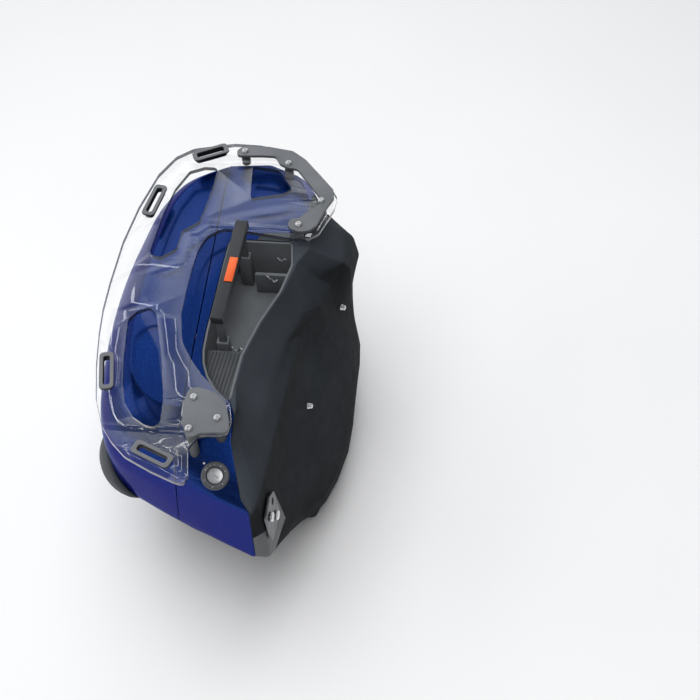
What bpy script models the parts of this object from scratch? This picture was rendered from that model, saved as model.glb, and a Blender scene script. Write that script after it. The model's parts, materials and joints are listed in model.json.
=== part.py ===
import bpy
import bmesh
import math
import numpy as np
from mathutils import Vector, Matrix

for ob in list(bpy.data.objects):
    bpy.data.objects.remove(ob, do_unlink=True)

# ---------------------------------------------------------------- dimensions
# Working frame: millimetres, +X towards the wheel side, +Y towards the rear,
# z = 0 at the crease above the front face.  OX, OY, OZ carry it to the world.
OX, OY, OZ = 32.685, -6.491, 300.0
MM = 0.001
FLOOR = -300.0            # underside of the feet
Z_BASE = -290.0           # underside of the case
Z_TOP = 72.0              # top of the case
WALL = 4.0                # skin of lid and casing
GAP = 0.3                 # between touching pieces
SEAM_X0, SEAM_K = -62.8, 0.094    # parting plane  x = SEAM_X0 + SEAM_K*z
SEAM_BEND = -100.0        # below this the parting line runs out to the hinge
HINGE_X, HINGE_Z = -152.5, -264.0
HINGE_Y0, HINGE_Y1 = -20.0, 56.0
PLATE_Z0, PLATE_Z1 = 86.0, 92.0
BRACKET_T = 4.0
HANDLE_YAW = math.radians(-3.4)
HANDLE_C = (-20.0, 30.0, 112.0)   # bar centre, pulled up
HANDLE_LEN = 156.0
LEG_Z0, SOCKET_Z1 = 51.0, 61.5    # lower end of the legs, mouth of the sockets
BAR_W, BAR_T = 16.5, 12.0
LOCK_C = (-11.0, -210.0, 31.6)
LOCK_SLOPE = math.radians(31.0)
LOCK_R, LOCK_CYL_R = 16.8, 9.8
SCREW_HEAD_R, SCREW_HEAD_H, SCREW_R = 4.75, 2.7, 2.5
SPACER_R = 6.0

# ---------------------------------------------------------------- collections
root = bpy.context.scene.collection
col = bpy.data.collections.new("saddlebag")
root.children.link(col)
cut_col = bpy.data.collections.new("cutters")
root.children.link(cut_col)


def W(p):
    return Vector(((p[0] + OX) * MM, (p[1] + OY) * MM, (p[2] + OZ) * MM))


# ---------------------------------------------------------------- materials
def material(name, colour, rough, metal=0.0, coat=0.0, transmission=0.0, alpha=1.0):
    m = bpy.data.materials.new(name)
    m.use_nodes = True
    b = m.node_tree.nodes["Principled BSDF"]
    b.inputs["Base Color"].default_value = (*colour, 1.0)
    b.inputs["Roughness"].default_value = rough
    b.inputs["Metallic"].default_value = metal
    b.inputs["Coat Weight"].default_value = coat
    b.inputs["Transmission Weight"].default_value = transmission
    b.inputs["Alpha"].default_value = alpha
    m.diffuse_color = (*colour, alpha)
    return m


MAT = {}


def mat(kind):
    if kind not in MAT:
        spec = {
            "paint": ((0.012, 0.045, 0.30), 0.22, 0.6, 1.0, 0.0, 1.0),
            "casing": ((0.018, 0.020, 0.023), 0.62, 0.0, 0.0, 0.0, 1.0),
            "liner": ((0.022, 0.024, 0.027), 0.55, 0.0, 0.0, 0.0, 1.0),
            "grip": ((0.035, 0.038, 0.042), 0.6, 0.0, 0.0, 0.0, 1.0),
            "rubber": ((0.012, 0.012, 0.013), 0.8, 0.0, 0.0, 0.0, 1.0),
            "clear": ((0.80, 0.84, 0.88), 0.05, 0.0, 0.0, 0.9, 0.35),
            "bracket": ((0.10, 0.105, 0.115), 0.5, 0.2, 0.0, 0.0, 1.0),
            "bar": ((0.055, 0.058, 0.062), 0.5, 0.0, 0.0, 0.0, 1.0),
            "orange": ((0.95, 0.12, 0.01), 0.45, 0.0, 0.0, 0.0, 1.0),
            "steel": ((0.62, 0.63, 0.65), 0.25, 1.0, 0.0, 0.0, 1.0),
            "zinc": ((0.45, 0.46, 0.47), 0.42, 1.0, 0.0, 0.0, 1.0),
            "ring": ((0.045, 0.047, 0.05), 0.4, 0.0, 0.0, 0.0, 1.0),
            "bumper": ((0.03, 0.032, 0.035), 0.6, 0.0, 0.0, 0.0, 1.0),
            "seal": ((0.01, 0.01, 0.011), 0.85, 0.0, 0.0, 0.0, 1.0),
        }[kind]
        MAT[kind] = spec
    return MAT[kind]


# ---------------------------------------------------------------- helpers
def finish(ob, kind, origin=None):
    """own material, world origin moved to the given working-frame point"""
    c, r, mt, coat, tr, al = mat(kind)
    ob.data.materials.clear()
    ob.data.materials.append(material("m_" + ob.name, c, r, mt, coat, tr, al))
    if origin is not None:
        o = W(origin)
        ob.data.transform(Matrix.Translation(-(o - ob.location)))
        ob.location = o
    return ob


def new_object(name, mesh, collection=None):
    ob = bpy.data.objects.new(name, mesh)
    (collection or col).objects.link(ob)
    return ob


def as_cutter(ob):
    for c in list(ob.users_collection):
        c.objects.unlink(ob)
    cut_col.objects.link(ob)
    ob.hide_render = True
    ob.display_type = "WIRE"
    return ob


def apply_mods(ob):
    dg = bpy.context.evaluated_depsgraph_get()
    me = bpy.data.meshes.new_from_object(ob.evaluated_get(dg))
    ob.modifiers.clear()
    old = ob.data
    ob.data = me
    me.name = ob.name
    if old.users == 0:
        bpy.data.meshes.remove(old)
    return ob


def boolean(ob, other, op="DIFFERENCE"):
    m = ob.modifiers.new(op.lower(), "BOOLEAN")
    m.operation = op
    m.solver = "EXACT"
    m.object = other
    apply_mods(ob)
    return ob


def tidy(ob, dist=0.00002):
    bm = bmesh.new()
    bm.from_mesh(ob.data)
    bmesh.ops.remove_doubles(bm, verts=bm.verts, dist=dist)
    bmesh.ops.dissolve_degenerate(bm, dist=0.00001, edges=bm.edges)
    bmesh.ops.recalc_face_normals(bm, faces=bm.faces)
    bm.to_mesh(ob.data)
    bm.free()
    return ob


def drop(*obs):
    for ob in obs:
        bpy.data.objects.remove(ob, do_unlink=True)


def loft(name, rings, collection=None):
    """closed solid through rings of equal length (working-frame points)"""
    bm = bmesh.new()
    vs = [[bm.verts.new(W(p)) for p in ring] for ring in rings]
    n = len(rings[0])
    for a, b in zip(vs[:-1], vs[1:]):
        for i in range(n):
            j = (i + 1) % n
            bm.faces.new((a[i], a[j], b[j], b[i]))
    bm.faces.new(list(reversed(vs[0])))
    bm.faces.new(vs[-1])
    bmesh.ops.recalc_face_normals(bm, faces=bm.faces)
    quads = [f for f in bm.faces if len(f.verts) == 4]
    bmesh.ops.triangulate(bm, faces=quads, quad_method="FIXED")
    me = bpy.data.meshes.new(name)
    bm.to_mesh(me)
    bm.free()
    return new_object(name, me, collection)


def prism(name, pts, z0, z1, collection=None, holes=()):
    """flat outline in XY, extruded from z0 to z1"""
    cu = bpy.data.curves.new(name, "CURVE")
    cu.dimensions = "2D"
    cu.fill_mode = "BOTH"
    cu.extrude = (z1 - z0) * 0.5 * MM
    for loop in [pts] + list(holes):
        sp = cu.splines.new("POLY")
        sp.points.add(len(loop) - 1)
        for k, p in enumerate(loop):
            sp.points[k].co = ((p[0] + OX) * MM, (p[1] + OY) * MM, 0, 1)
        sp.use_cyclic_u = True
    tmp = bpy.data.objects.new(name + "_c", cu)
    tmp.location = (0, 0, ((z0 + z1) * 0.5 + OZ) * MM)
    root.objects.link(tmp)
    bpy.context.view_layer.update()
    dg = bpy.context.evaluated_depsgraph_get()
    me = bpy.data.meshes.new_from_object(tmp.evaluated_get(dg))
    me.transform(tmp.matrix_world)
    me.name = name
    bpy.data.objects.remove(tmp, do_unlink=True)
    ob = new_object(name, me, collection)
    return tidy(ob)


def prism_y(name, pts, y0, y1, collection=None):
    """flat outline in XZ, extruded along Y"""
    return loft(name, [[(x, y0, z) for x, z in pts], [(x, y1, z) for x, z in pts]], collection)


def box(name, c, size, rot=None, collection=None):
    bm = bmesh.new()
    bmesh.ops.create_cube(bm, size=1.0)
    bmesh.ops.scale(bm, vec=[s * MM for s in size], verts=bm.verts)
    if rot is not None:
        bmesh.ops.transform(bm, matrix=rot.to_4x4(), verts=bm.verts)
    bmesh.ops.translate(bm, vec=W(c), verts=bm.verts)
    me = bpy.data.meshes.new(name)
    bm.to_mesh(me)
    bm.free()
    return new_object(name, me, collection)


def bevel(ob, width, segments=2, angle=30):
    m = ob.modifiers.new("bevel", "BEVEL")
    m.width = width * MM
    m.segments = segments
    m.limit_method = "ANGLE"
    m.angle_limit = math.radians(angle)
    apply_mods(ob)
    return ob


def axis_rot(axis):
    """rotation taking +Z to the given axis"""
    return Vector((0, 0, 1)).rotation_difference(Vector(axis).normalized()).to_matrix()


def lathe(name, profile, c, axis=(0, 0, 1), steps=24, collection=None):
    """profile: (r, z) from the top of the axis, down the outside, to the bottom"""
    me = bpy.data.meshes.new(name)
    me.from_pydata([(r * MM, 0, z * MM) for r, z in profile],
                   [(i, i + 1) for i in range(len(profile) - 1)], [])
    ob = new_object(name, me, collection)
    closed = profile[0] == profile[-1]
    m = ob.modifiers.new("screw", "SCREW")
    m.axis = "Z"
    m.steps = steps
    m.render_steps = steps
    m.use_merge_vertices = True
    m.merge_threshold = 0.00001
    m.use_normal_calculate = not closed
    apply_mods(ob)
    ob.data.transform(axis_rot(axis).to_4x4())
    ob.location = W(c)
    bpy.context.view_layer.update()
    ob.data.transform(Matrix.Translation(ob.location))
    ob.location = (0, 0, 0)
    return tidy(ob, 0.00001)


def cyl(name, r, z0, z1, c, axis=(0, 0, 1), steps=24, ch=0.0, collection=None):
    if ch > 0:
        prof = [(0, z1), (r - ch, z1), (r, z1 - ch), (r, z0 + ch), (r - ch, z0), (0, z0)]
    else:
        prof = [(0, z1), (r, z1), (r, z0), (0, z0)]
    return lathe(name, prof, c, axis, steps, collection)


def wire(name, pts, r, collection=None):
    cu = bpy.data.curves.new(name, "CURVE")
    cu.dimensions = "3D"
    cu.bevel_depth = r * MM
    cu.bevel_resolution = 2
    cu.use_fill_caps = True
    sp = cu.splines.new("POLY")
    sp.points.add(len(pts) - 1)
    for k, p in enumerate(pts):
        w = W(p)
        sp.points[k].co = (w.x, w.y, w.z, 1)
    tmp = bpy.data.objects.new(name + "_c", cu)
    root.objects.link(tmp)
    bpy.context.view_layer.update()
    me = bpy.data.meshes.new_from_object(tmp.evaluated_get(bpy.context.evaluated_depsgraph_get()))
    me.name = name
    bpy.data.objects.remove(tmp, do_unlink=True)
    ob = new_object(name, me, collection)
    return tidy(ob, 0.00001)


def smooth_loop(pts, n, closed=True):
    """Catmull-Rom through points, n pieces per span"""
    P = [np.array(p, float) for p in pts]
    m = len(P)
    out = []
    spans = m if closed else m - 1
    for i in range(spans):
        if closed:
            p0, p1, p2, p3 = P[(i - 1) % m], P[i], P[(i + 1) % m], P[(i + 2) % m]
        else:
            p1, p2 = P[i], P[i + 1]
            p0 = P[i - 1] if i > 0 else 2 * p1 - p2
            p3 = P[i + 2] if i + 2 < m else 2 * p2 - p1
        for k in range(n):
            t = k / n
            out.append(tuple(0.5 * ((2 * p1) + (-p0 + p2) * t + (2 * p0 - 5 * p1 + 4 * p2 - p3) * t * t
                                    + (-p0 + 3 * p1 - 3 * p2 + p3) * t ** 3)))
    if not closed:
        out.append(tuple(P[-1]))
    return out


def rounded(pts, radii, seg=4):
    """polygon with each corner rounded"""
    n = len(pts)
    out = []
    for i in range(n):
        p = np.array(pts[i], float)
        a = np.array(pts[i - 1], float) - p
        b = np.array(pts[(i + 1) % n], float) - p
        r = radii[i] if hasattr(radii, "__len__") else radii
        la, lb = np.linalg.norm(a), np.linalg.norm(b)
        ua, ub = a / la, b / lb
        cosang = float(np.clip(np.dot(ua, ub), -1, 1))
        ang = math.acos(cosang)
        if r <= 0.01 or ang > math.radians(172):
            out.append(tuple(p))
            continue
        d = min(r / math.tan(ang / 2), la * 0.46, lb * 0.46)
        s, e = p + ua * d, p + ub * d
        for k in range(seg + 1):
            t = k / seg
            out.append(tuple((1 - t) ** 2 * s + 2 * t * (1 - t) * p + t * t * e))
    return out


def offset_loop(pts, d):
    """move every edge of a closed outline inwards by d (negative: outwards)"""
    n = len(pts)
    P = [np.array(p, float) for p in pts]
    area = 0.5 * sum(P[i][0] * P[(i + 1) % n][1] - P[(i + 1) % n][0] * P[i][1] for i in range(n))
    s = 1.0 if area > 0 else -1.0
    out = []
    for i in range(n):
        a, p, b = P[i - 1], P[i], P[(i + 1) % n]
        e1 = (p - a) / max(np.linalg.norm(p - a), 1e-9)
        e2 = (b - p) / max(np.linalg.norm(b - p), 1e-9)
        n1 = np.array([-e1[1], e1[0]]) * s
        n2 = np.array([-e2[1], e2[0]]) * s
        m = n1 + n2
        k = max(float(np.dot(m, m)), 0.6)
        out.append(tuple(p + m * (2.0 * d / k)))
    return out


# ---------------------------------------------------------------- case outline
# plan outlines of the outer form, level by level.  FRONT: corner at the wheel
# side, then towards the seam.  SIDE: the painted outer flank, front to rear.
# REAR and CASING: back along the rear and the wheel side to the front corner.
LEVELS = [72.0, 56.0, 34.0, 10.0, -30.0, -90.0, -150.0, -210.0, -262.0, -290.0]
FRONT = [
    [(9, -146), (-18, -148)],
    [(3, -168), (-22, -169)],
    [(13, -206), (-16, -206)],
    [(35, -246), (-8, -229)],
    [(33, -249), (-8, -233)],
    [(26, -253), (-8, -239)],
    [(27, -207), (-8, -196)],
    [(30, -160), (-8, -152)],
    [(34, -119), (-8, -114)],
    [(38, -98), (-8, -96)],
]
SIDE = [
    [(-54, -147), (-88, -139), (-112, -120), (-127, -92), (-134, -54), (-137, 5), (-134, 66), (-128, 124), (-117, 182), (-91, 222), (-54, 245)],
    [(-56, -172), (-95, -162), (-126, -140), (-144, -108), (-153, -62), (-157, 2), (-154, 66), (-146, 124), (-134, 185), (-108, 229), (-57, 253)],
    [(-52, -199), (-98, -180), (-137, -157), (-158, -123), (-168, -70), (-172, 0), (-169, 70), (-160, 132), (-146, 193), (-115, 240), (-60, 258)],
    [(-50, -210), (-102, -187), (-146, -163), (-167, -128), (-177, -74), (-181, 0), (-178, 72), (-168, 136), (-152, 196), (-119, 243), (-62, 260)],
    [(-50, -215), (-106, -191), (-152, -165), (-173, -129), (-183, -76), (-187, 0), (-183, 75), (-173, 140), (-155, 198), (-121, 243), (-62, 260)],
    [(-50, -219), (-106, -192), (-150, -166), (-173, -131), (-184, -80), (-188, 0), (-184, 75), (-173, 138), (-154, 191), (-118, 232), (-62, 249)],
    [(-50, -178), (-102, -156), (-142, -134), (-166, -106), (-178, -64), (-182, 0), (-178, 66), (-167, 122), (-148, 170), (-113, 208), (-62, 224)],
    [(-54, -136), (-98, -117), (-132, -98), (-154, -77), (-166, -44), (-170, 5), (-166, 58), (-155, 105), (-137, 146), (-106, 178), (-62, 193)],
    [(-58, -102), (-96, -89), (-122, -73), (-140, -53), (-150, -26), (-154, 14), (-151, 54), (-141, 90), (-125, 122), (-100, 148), (-62, 162)],
    [(-58, -86), (-90, -76), (-110, -62), (-124, -44), (-132, -20), (-135, 14), (-132, 48), (-124, 78), (-110, 104), (-90, 124), (-60, 136)],
]
REAR = [
    [(0, 250), (42, 230)],
    [(0, 257), (48, 240)],
    [(0, 261), (54, 247)],
    [(0, 263), (60, 249)],
    [(0, 263), (64, 250)],
    [(0, 249), (62, 242)],
    [(0, 224), (62, 219)],
    [(0, 194), (62, 190)],
    [(0, 164), (60, 162)],
    [(0, 138), (56, 136)],
]
# wheel side, rear to front
CASING = [
    [(62, 182), (68, 144), (66, 104), (54, 82), (42, 36), (22, -12), (6, -65), (2, -109), (5, -129), (8, -141)],
    [(66, 196), (84, 160), (84, 110), (66, 84), (51, 32), (33, -16), (20, -68), (15, -116), (15, -140), (10, -158)],
    [(76, 206), (107, 173), (110, 116), (78, 88), (66, 30), (50, -18), (40, -66), (34, -122), (30, -156), (22, -190)],
    [(80, 216), (118, 182), (118, 126), (93, 98), (84, 62), (61, 12), (56, -50), (50, -108), (44, -190), (40, -228)],
    [(82, 218), (125, 188), (117, 136), (98, 96), (88, 58), (68, 4), (62, -58), (54, -112), (46, -196), (44, -236)],
    [(84, 214), (114, 192), (114, 150), (110, 104), (104, 64), (93, 10), (80, -62), (66, -118), (54, -196), (49, -253)],
    [(84, 204), (113, 182), (123, 140), (122, 100), (118, 58), (110, 2), (98, -66), (84, -116), (66, -168), (51, -206)],
    [(82, 182), (126, 162), (128, 126), (127, 90), (126, 50), (122, 0), (113, -56), (98, -98), (74, -134), (54, -160)],
    [(78, 158), (118, 142), (122, 112), (123, 80), (123, 46), (120, 0), (109, -46), (95, -82), (78, -106), (52, -119)],
    [(72, 134), (100, 122), (106, 98), (108, 72), (108, 42), (106, 2), (99, -38), (88, -70), (80, -94), (50, -98)],
]


def interp(z, table, smooth):
    zs = LEVELS
    z = max(min(z, zs[0]), zs[-1])
    A = np.array(table, float)
    k = 0
    while k < len(zs) - 2 and z < zs[k + 1]:
        k += 1
    t = (zs[k] - z) / (zs[k] - zs[k + 1])
    p1, p2 = A[k], A[k + 1]
    if not smooth:
        return p1 * (1 - t) + p2 * t
    h = zs[k] - zs[k + 1]

    def slope(i):
        if i <= 0:
            return (A[1] - A[0]) / (zs[0] - zs[1])
        if i >= len(zs) - 1:
            return (A[-1] - A[-2]) / (zs[-2] - zs[-1])
        d1 = (A[i] - A[i - 1]) / (zs[i - 1] - zs[i])
        d2 = (A[i + 1] - A[i]) / (zs[i] - zs[i + 1])
        w = np.where(d1 * d2 > 0, 2 * d1 * d2 / np.where(abs(d1 + d2) < 1e-9, 1e-9, d1 + d2), 0.0)
        return w
    m1, m2 = slope(k) * h, slope(k + 1) * h
    return ((2 * t ** 3 - 3 * t ** 2 + 1) * p1 + (t ** 3 - 2 * t ** 2 + t) * m1
            + (-2 * t ** 3 + 3 * t ** 2) * p2 + (t ** 3 - t ** 2) * m2)


def outline(z, sub=2):
    f = interp(z, FRONT, False)
    s = interp(z, SIDE, True)
    r = interp(z, REAR, False)
    c = interp(z, CASING, False)
    side = smooth_loop([tuple(p) for p in s], sub, closed=False)
    return [tuple(p) for p in f] + side + [tuple(p) for p in r] + [tuple(p) for p in c]


CASE_Z = [-290, -276, -262, -236, -210, -180, -150, -120, -90, -60, -30, -10, 10, 22, 34, 46, 56, 66, 72]


def case_rings(inset=0.0, zs=CASE_Z):
    rings = []
    zlo, zhi = Z_BASE + inset, Z_TOP - inset
    for z in zs:
        zz = min(max(z, zlo), zhi)
        if rings and zz <= rings[-1][0][2] + 1e-6:
            continue
        o = outline(zz)
        if inset:
            # steeper walls need less, slopes need more plan inset
            o = offset_loop(o, inset * 1.15)
        rings.append([(x, y, zz) for x, y in o])
    return rings


hull = loft("c_hull", case_rings(), cut_col)
void = loft("c_void", case_rings(WALL), cut_col)
for ob in (hull, void):
    as_cutter(ob)


def seam_x(z):
    if z >= SEAM_BEND:
        return SEAM_X0 + SEAM_K * z
    xb = SEAM_X0 + SEAM_K * SEAM_BEND
    return xb + (HINGE_X - xb) * (SEAM_BEND - z) / (SEAM_BEND - HINGE_Z)


def half(name, side, d):
    """space on the lid (-1) or body (+1) side of the parting line, d mm back from it"""
    pts = [(seam_x(250) + side * d, 250), (seam_x(SEAM_BEND) + side * d, SEAM_BEND),
           (HINGE_X + side * d, HINGE_Z - (d if side > 0 else -d) * 0.5)]
    if side < 0:
        pts += [(-420, HINGE_Z + d), (-420, 250)]
    else:
        pts = [(x, z) for x, z in pts]
        pts[-1] = (HINGE_X + d, HINGE_Z - d)
        pts += [(-420, HINGE_Z - d), (-420, -420), (420, -420), (420, 250)]
    return as_cutter(prism_y(name, pts, -420, 420, cut_col))


lid_side = half("c_lid_side", -1, 0.5)
body_side = half("c_body_side", +1, 0.5)

# painted zone of the body, in plan; its inner edge runs inside the trench
PAINT_ZONE = [(30.5, -420), (30.5, -244.0), (29, -242), (20, -232), (13, -208), (4, -174), (6, -150), (-4, -126),
              (-24, -90), (-30, -20), (-12, 60), (-4, 112), (4, 128), (42, 130), (56, 142), (60, 175), (60, 420),
              (-220, 420), (-220, -420)]
zone = as_cutter(prism("c_paint_zone", PAINT_ZONE, -97, 200, cut_col))
zone_out = as_cutter(prism("c_paint_zone_out", offset_loop(PAINT_ZONE, -GAP), -97 - GAP, 200, cut_col))

# ---------------------------------------------------------------- lid
lid = loft("lid_shell", case_rings())
boolean(lid, lid_side, "INTERSECT")
boolean(lid, void)

# ---------------------------------------------------------------- painted body cover
body = loft("body_shell", case_rings())
boolean(body, body_side, "INTERSECT")
boolean(body, zone, "INTERSECT")
boolean(body, void)

# ---------------------------------------------------------------- black casing
casing = loft("inner_casing", case_rings())
boolean(casing, body_side, "INTERSECT")
boolean(casing, void)
boolean(casing, zone_out)
tidy(casing, 0.00003)

# grey guard over the lower front corner of the casing, wheel side
guard_lo, guard_hi = (31.2, -300.0, -112.0), (140.0, -186.0, -44.0)
gc = [(a + b) / 2 for a, b in zip(guard_lo, guard_hi)]
gs = [b - a for a, b in zip(guard_lo, guard_hi)]
guard = loft("lower_corner_guard", case_rings())
guard_zone = as_cutter(box("c_guard", gc, gs, collection=cut_col))
guard_zone_out = as_cutter(box("c_guard_out", gc, [g + 2 * GAP for g in gs], collection=cut_col))
boolean(guard, guard_zone, "INTERSECT")
boolean(guard, void)
boolean(casing, guard_zone_out)
tidy(casing, 0.00003)

# ---------------------------------------------------------------- handle trench
TRENCH = ([(-3, -132), (-20, -116), (-32, -98), (-39, -80), (-42, -62), (-42, -32), (-39.5, 15), (-37, 76), (-34.5, 112)]
          + [(43, 112), (47, 78)] + [(37, 34), (17, -15), (2, -66), (-2, -112)])
TRENCH = [(float(x), float(y)) for x, y in TRENCH]
trench_hole = as_cutter(prism("c_trench_hole", offset_loop(TRENCH, -3.4), -6, 200, cut_col))
boolean(casing, trench_hole)
boolean(body, trench_hole)
recess = prism("handle_recess", offset_loop(TRENCH, -3.0), 2.0, Z_TOP - 1.0)
recess_cut = as_cutter(prism("c_recess_in", TRENCH, 5.0, 200, cut_col))
boolean(recess, recess_cut)

# raised grip floor with finger ribs at the front of the trench
grip = prism("grip_floor", offset_loop([(-5, -130), (-20, -115), (-32, -97), (-39, -80), (-42, -62), (-42, -53.5), (4, -53.5), (2, -66), (-2, -112)], 0.4), 5.3, 61.0)
for k in range(8):
    xx = -37.0 + 4.6 * k
    groove = as_cutter(box("c_groove", (xx, -88.0, 61.2), (1.4, 62.0, 2.6), Matrix.Rotation(math.radians(-7.0), 3, "Z"), cut_col))
    boolean(grip, groove)
    drop(groove)

# cross rib that braces the rear of the trench
rib = box("trench_rib", (20, 84, 24.0), (45, 5, 37.0))
bevel(rib, 1.2, 2)

# ---------------------------------------------------------------- carry handle
# pull-up bar on two legs that slide in sockets on the trench floor
yaw = Matrix.Rotation(HANDLE_YAW, 3, "Z")
u = yaw @ Vector((0, 1, 0))          # along the bar
v = yaw @ Vector((1, 0, 0))          # across, towards the wheel side
bar_c = Vector(HANDLE_C)
bar = box("handle_bar", bar_c, (BAR_W, HANDLE_LEN, BAR_T), yaw)
bevel(bar, 1.6, 3)
arms = []
for nm, s in (("front", -1), ("rear", 1)):
    c0 = bar_c + u * (s * (HANDLE_LEN / 2 - 10.0))
    z1 = bar_c.z - BAR_T / 2 - GAP
    a = box("handle_leg_" + nm, (c0.x, c0.y, (z1 + LEG_Z0) / 2), (9, 6, z1 - LEG_Z0), yaw)
    bevel(a, 0.8, 2)
    arms.append(a)
    so = box("handle_socket_" + nm, (c0.x, c0.y, (SOCKET_Z1 + 5.3) / 2), (15, 12, SOCKET_Z1 - 5.3), yaw)
    bevel(so, 1.2, 2)
    hole = as_cutter(box("c_so", (c0.x, c0.y, SOCKET_Z1), (9.8, 6.8, 2 * (SOCKET_Z1 - 6.8)), yaw, cut_col))
    boolean(so, hole)
    drop(hole)
    finish(so, "liner")
tab = box("handle_tab", bar_c + v * 2.6 + u * (-3.0) + Vector((0, 0, BAR_T / 2 + GAP + 0.6)), (10.4, 38, 1.2), yaw)
bevel(tab, 0.4, 1)

# sprung wire clips on the two end walls
def clip(name, c, w, h):
    x, y, z = c
    pts = [(x - w / 2, y, z), (x - w / 4, y - 2, z + h * 0.4), (x - 1, y - 5, z + h * 0.25), (x + 2, y - 3, z - h * 0.3),
           (x + w / 4, y - 6, z - h * 0.55), (x + w / 2, y - 4, z - h * 0.2)]
    return wire(name, smooth_loop(pts, 3, closed=False), 1.1)


clips = [clip("clip_rear", (20, 76, 47), 17, 6), clip("clip_front", (-4, -45, 57), 18, -9), clip("clip_latch", (32, 106, 50), 15, -8)]

# ---------------------------------------------------------------- clear rack plate
PLATE = [(-126, 237), (-104, 254), (-50, 267), (-15, 266), (30, 257), (51, 242), (86, 198), (98, 177), (96, 158), (80, 115),
         (67, 105), (45, 104), (-11, 112), (-44, 115), (-62, 100), (-69, 80), (-72, 56), (-74, 12), (-74, -27), (-66, -65),
         (-52, -89), (-36, -110), (-16, -130), (3, -146), (9, -170), (6, -190), (-26, -192), (-35, -209), (-29, -245), (-33, -255), (-45, -252),
         (-72, -241), (-104, -225), (-123, -207), (-138, -187), (-152, -152), (-162, -104), (-168, -61), (-171, -24), (-171, 17),
         (-168, 84), (-159, 144), (-144, 203)]
PLATE_R = [14, 12, 20, 20, 14, 12, 20, 9, 12, 9, 12, 20, 12, 14, 10, 20, 20, 30, 30, 30, 30, 20, 20, 10, 12, 8, 10, 10, 5, 5, 8,
           20, 20, 20, 20, 40, 40, 40, 40, 40, 40, 40, 20]
SLOTS = [((-80, 247), (49, 18), 26.0), ((-140, 156), (54, 17), 79.0), ((-147, -114), (52, 17), 101.0), ((-73, -221), (50, 18), -24.0)]
WIN_A = [(-20, 227), (16, 222), (37, 189), (25, 179), (-16, 169)]
WIN_B = [(-131, 66), (-125, 134), (-117, 179), (-103, 212), (-84, 221), (-66, 221), (-68, 182), (-76, 125), (-96, 107), (-98, 77), (-116, 62)]
WIN_C = [(-137, -37), (-131, -95), (-125, -130), (-117, -156), (-105, -173), (-89, -183), (-79, -186), (-72, -179), (-74, -148),
         (-86, -92), (-104, -27), (-114, -17), (-128, -24)]
PLATE = [(float(a), float(b)) for a, b in PLATE]
outline_p = rounded(PLATE, PLATE_R, 2)
plate = prism("rack_plate", outline_p, PLATE_Z0, PLATE_Z1,
              holes=[rounded(WIN_A, 4, 2), rounded(WIN_B, 6, 2), rounded(WIN_C, 6, 2)])


def slot_outline(c, size, deg, grow=0.0):
    w, h = size[0] / 2 + grow, size[1] / 2 + grow
    a = math.radians(deg)
    pts = rounded([(-w, -h), (w, -h), (w, h), (-w, h)], min(h, 6.0), 3)
    return [(c[0] + x * math.cos(a) - y * math.sin(a), c[1] + x * math.sin(a) + y * math.cos(a)) for x, y in pts]


for k, (c, size, deg) in enumerate(SLOTS):
    hole = as_cutter(prism("c_slot", slot_outline(c, size, deg, -2.5), 0, 200, cut_col))
    boolean(plate, hole)
    drop(hole)
    lin = prism("slot_liner_%d" % (k + 1), slot_outline(c, size, deg, -2.8), PLATE_Z0 + 0.2, PLATE_Z1 + 0.4)
    lip = prism("lip", slot_outline(c, size, deg), PLATE_Z1 + GAP, PLATE_Z1 + 2.6)
    boolean(lin, lip, "UNION")
    drop(lip)
    core = as_cutter(prism("c_core", slot_outline(c, (size[0] - 11.0, size[1] - 9.0), deg), 0, 200, cut_col))
    boolean(lin, core)
    drop(core)
    finish(lin, "bracket")

# ---------------------------------------------------------------- brackets
UPPER = [(-43, 241), (-44, 252), (-36, 258), (-2, 260), (31, 254), (48, 241), (92, 187), (94, 173), (82, 145), (76, 124), (68, 115),
         (55, 112), (43, 116), (38, 124), (42, 133), (53, 136), (77, 162), (76, 172), (41, 221), (28, 223), (17, 229), (9, 243), (-10, 243)]
LOWER = [(-47, -140), (-44, -133), (-34, -131), (-15, -137), (0, -151), (6, -171), (8, -184), (4, -190), (-8, -190), (-24, -192), (-32, -198), (-39, -197), (-46, -181), (-49, -155)]
UP_S = [(-33, 250), (28, 231), (78, 167), (53, 124)]
LO_S = [(-38, -145), (-7, -171), (-37, -187)]
upper = prism("upper_bracket", rounded([(float(a), float(b)) for a, b in UPPER], 7, 2), PLATE_Z1 + GAP, PLATE_Z1 + GAP + BRACKET_T)
lower = prism("lower_bracket", rounded([(float(a), float(b)) for a, b in LOWER], 7, 2), PLATE_Z1 + GAP, PLATE_Z1 + GAP + BRACKET_T)


def top_at(x, y):
    """height of the painted top surface under a point"""
    lo, hi = -80.0, Z_TOP
    if inside(outline(Z_TOP), x, y):
        return Z_TOP
    for _ in range(24):
        m = (lo + hi) / 2
        if inside(outline(m), x, y):
            lo = m
        else:
            hi = m
    return lo


def inside(poly, x, y):
    c = False
    j = len(poly) - 1
    for i in range(len(poly)):
        xi, yi = poly[i]
        xj, yj = poly[j]
        if (yi > y) != (yj > y) and x < (xj - xi) * (y - yi) / (yj - yi) + xi:
            c = not c
        j = i
    return c


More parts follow.
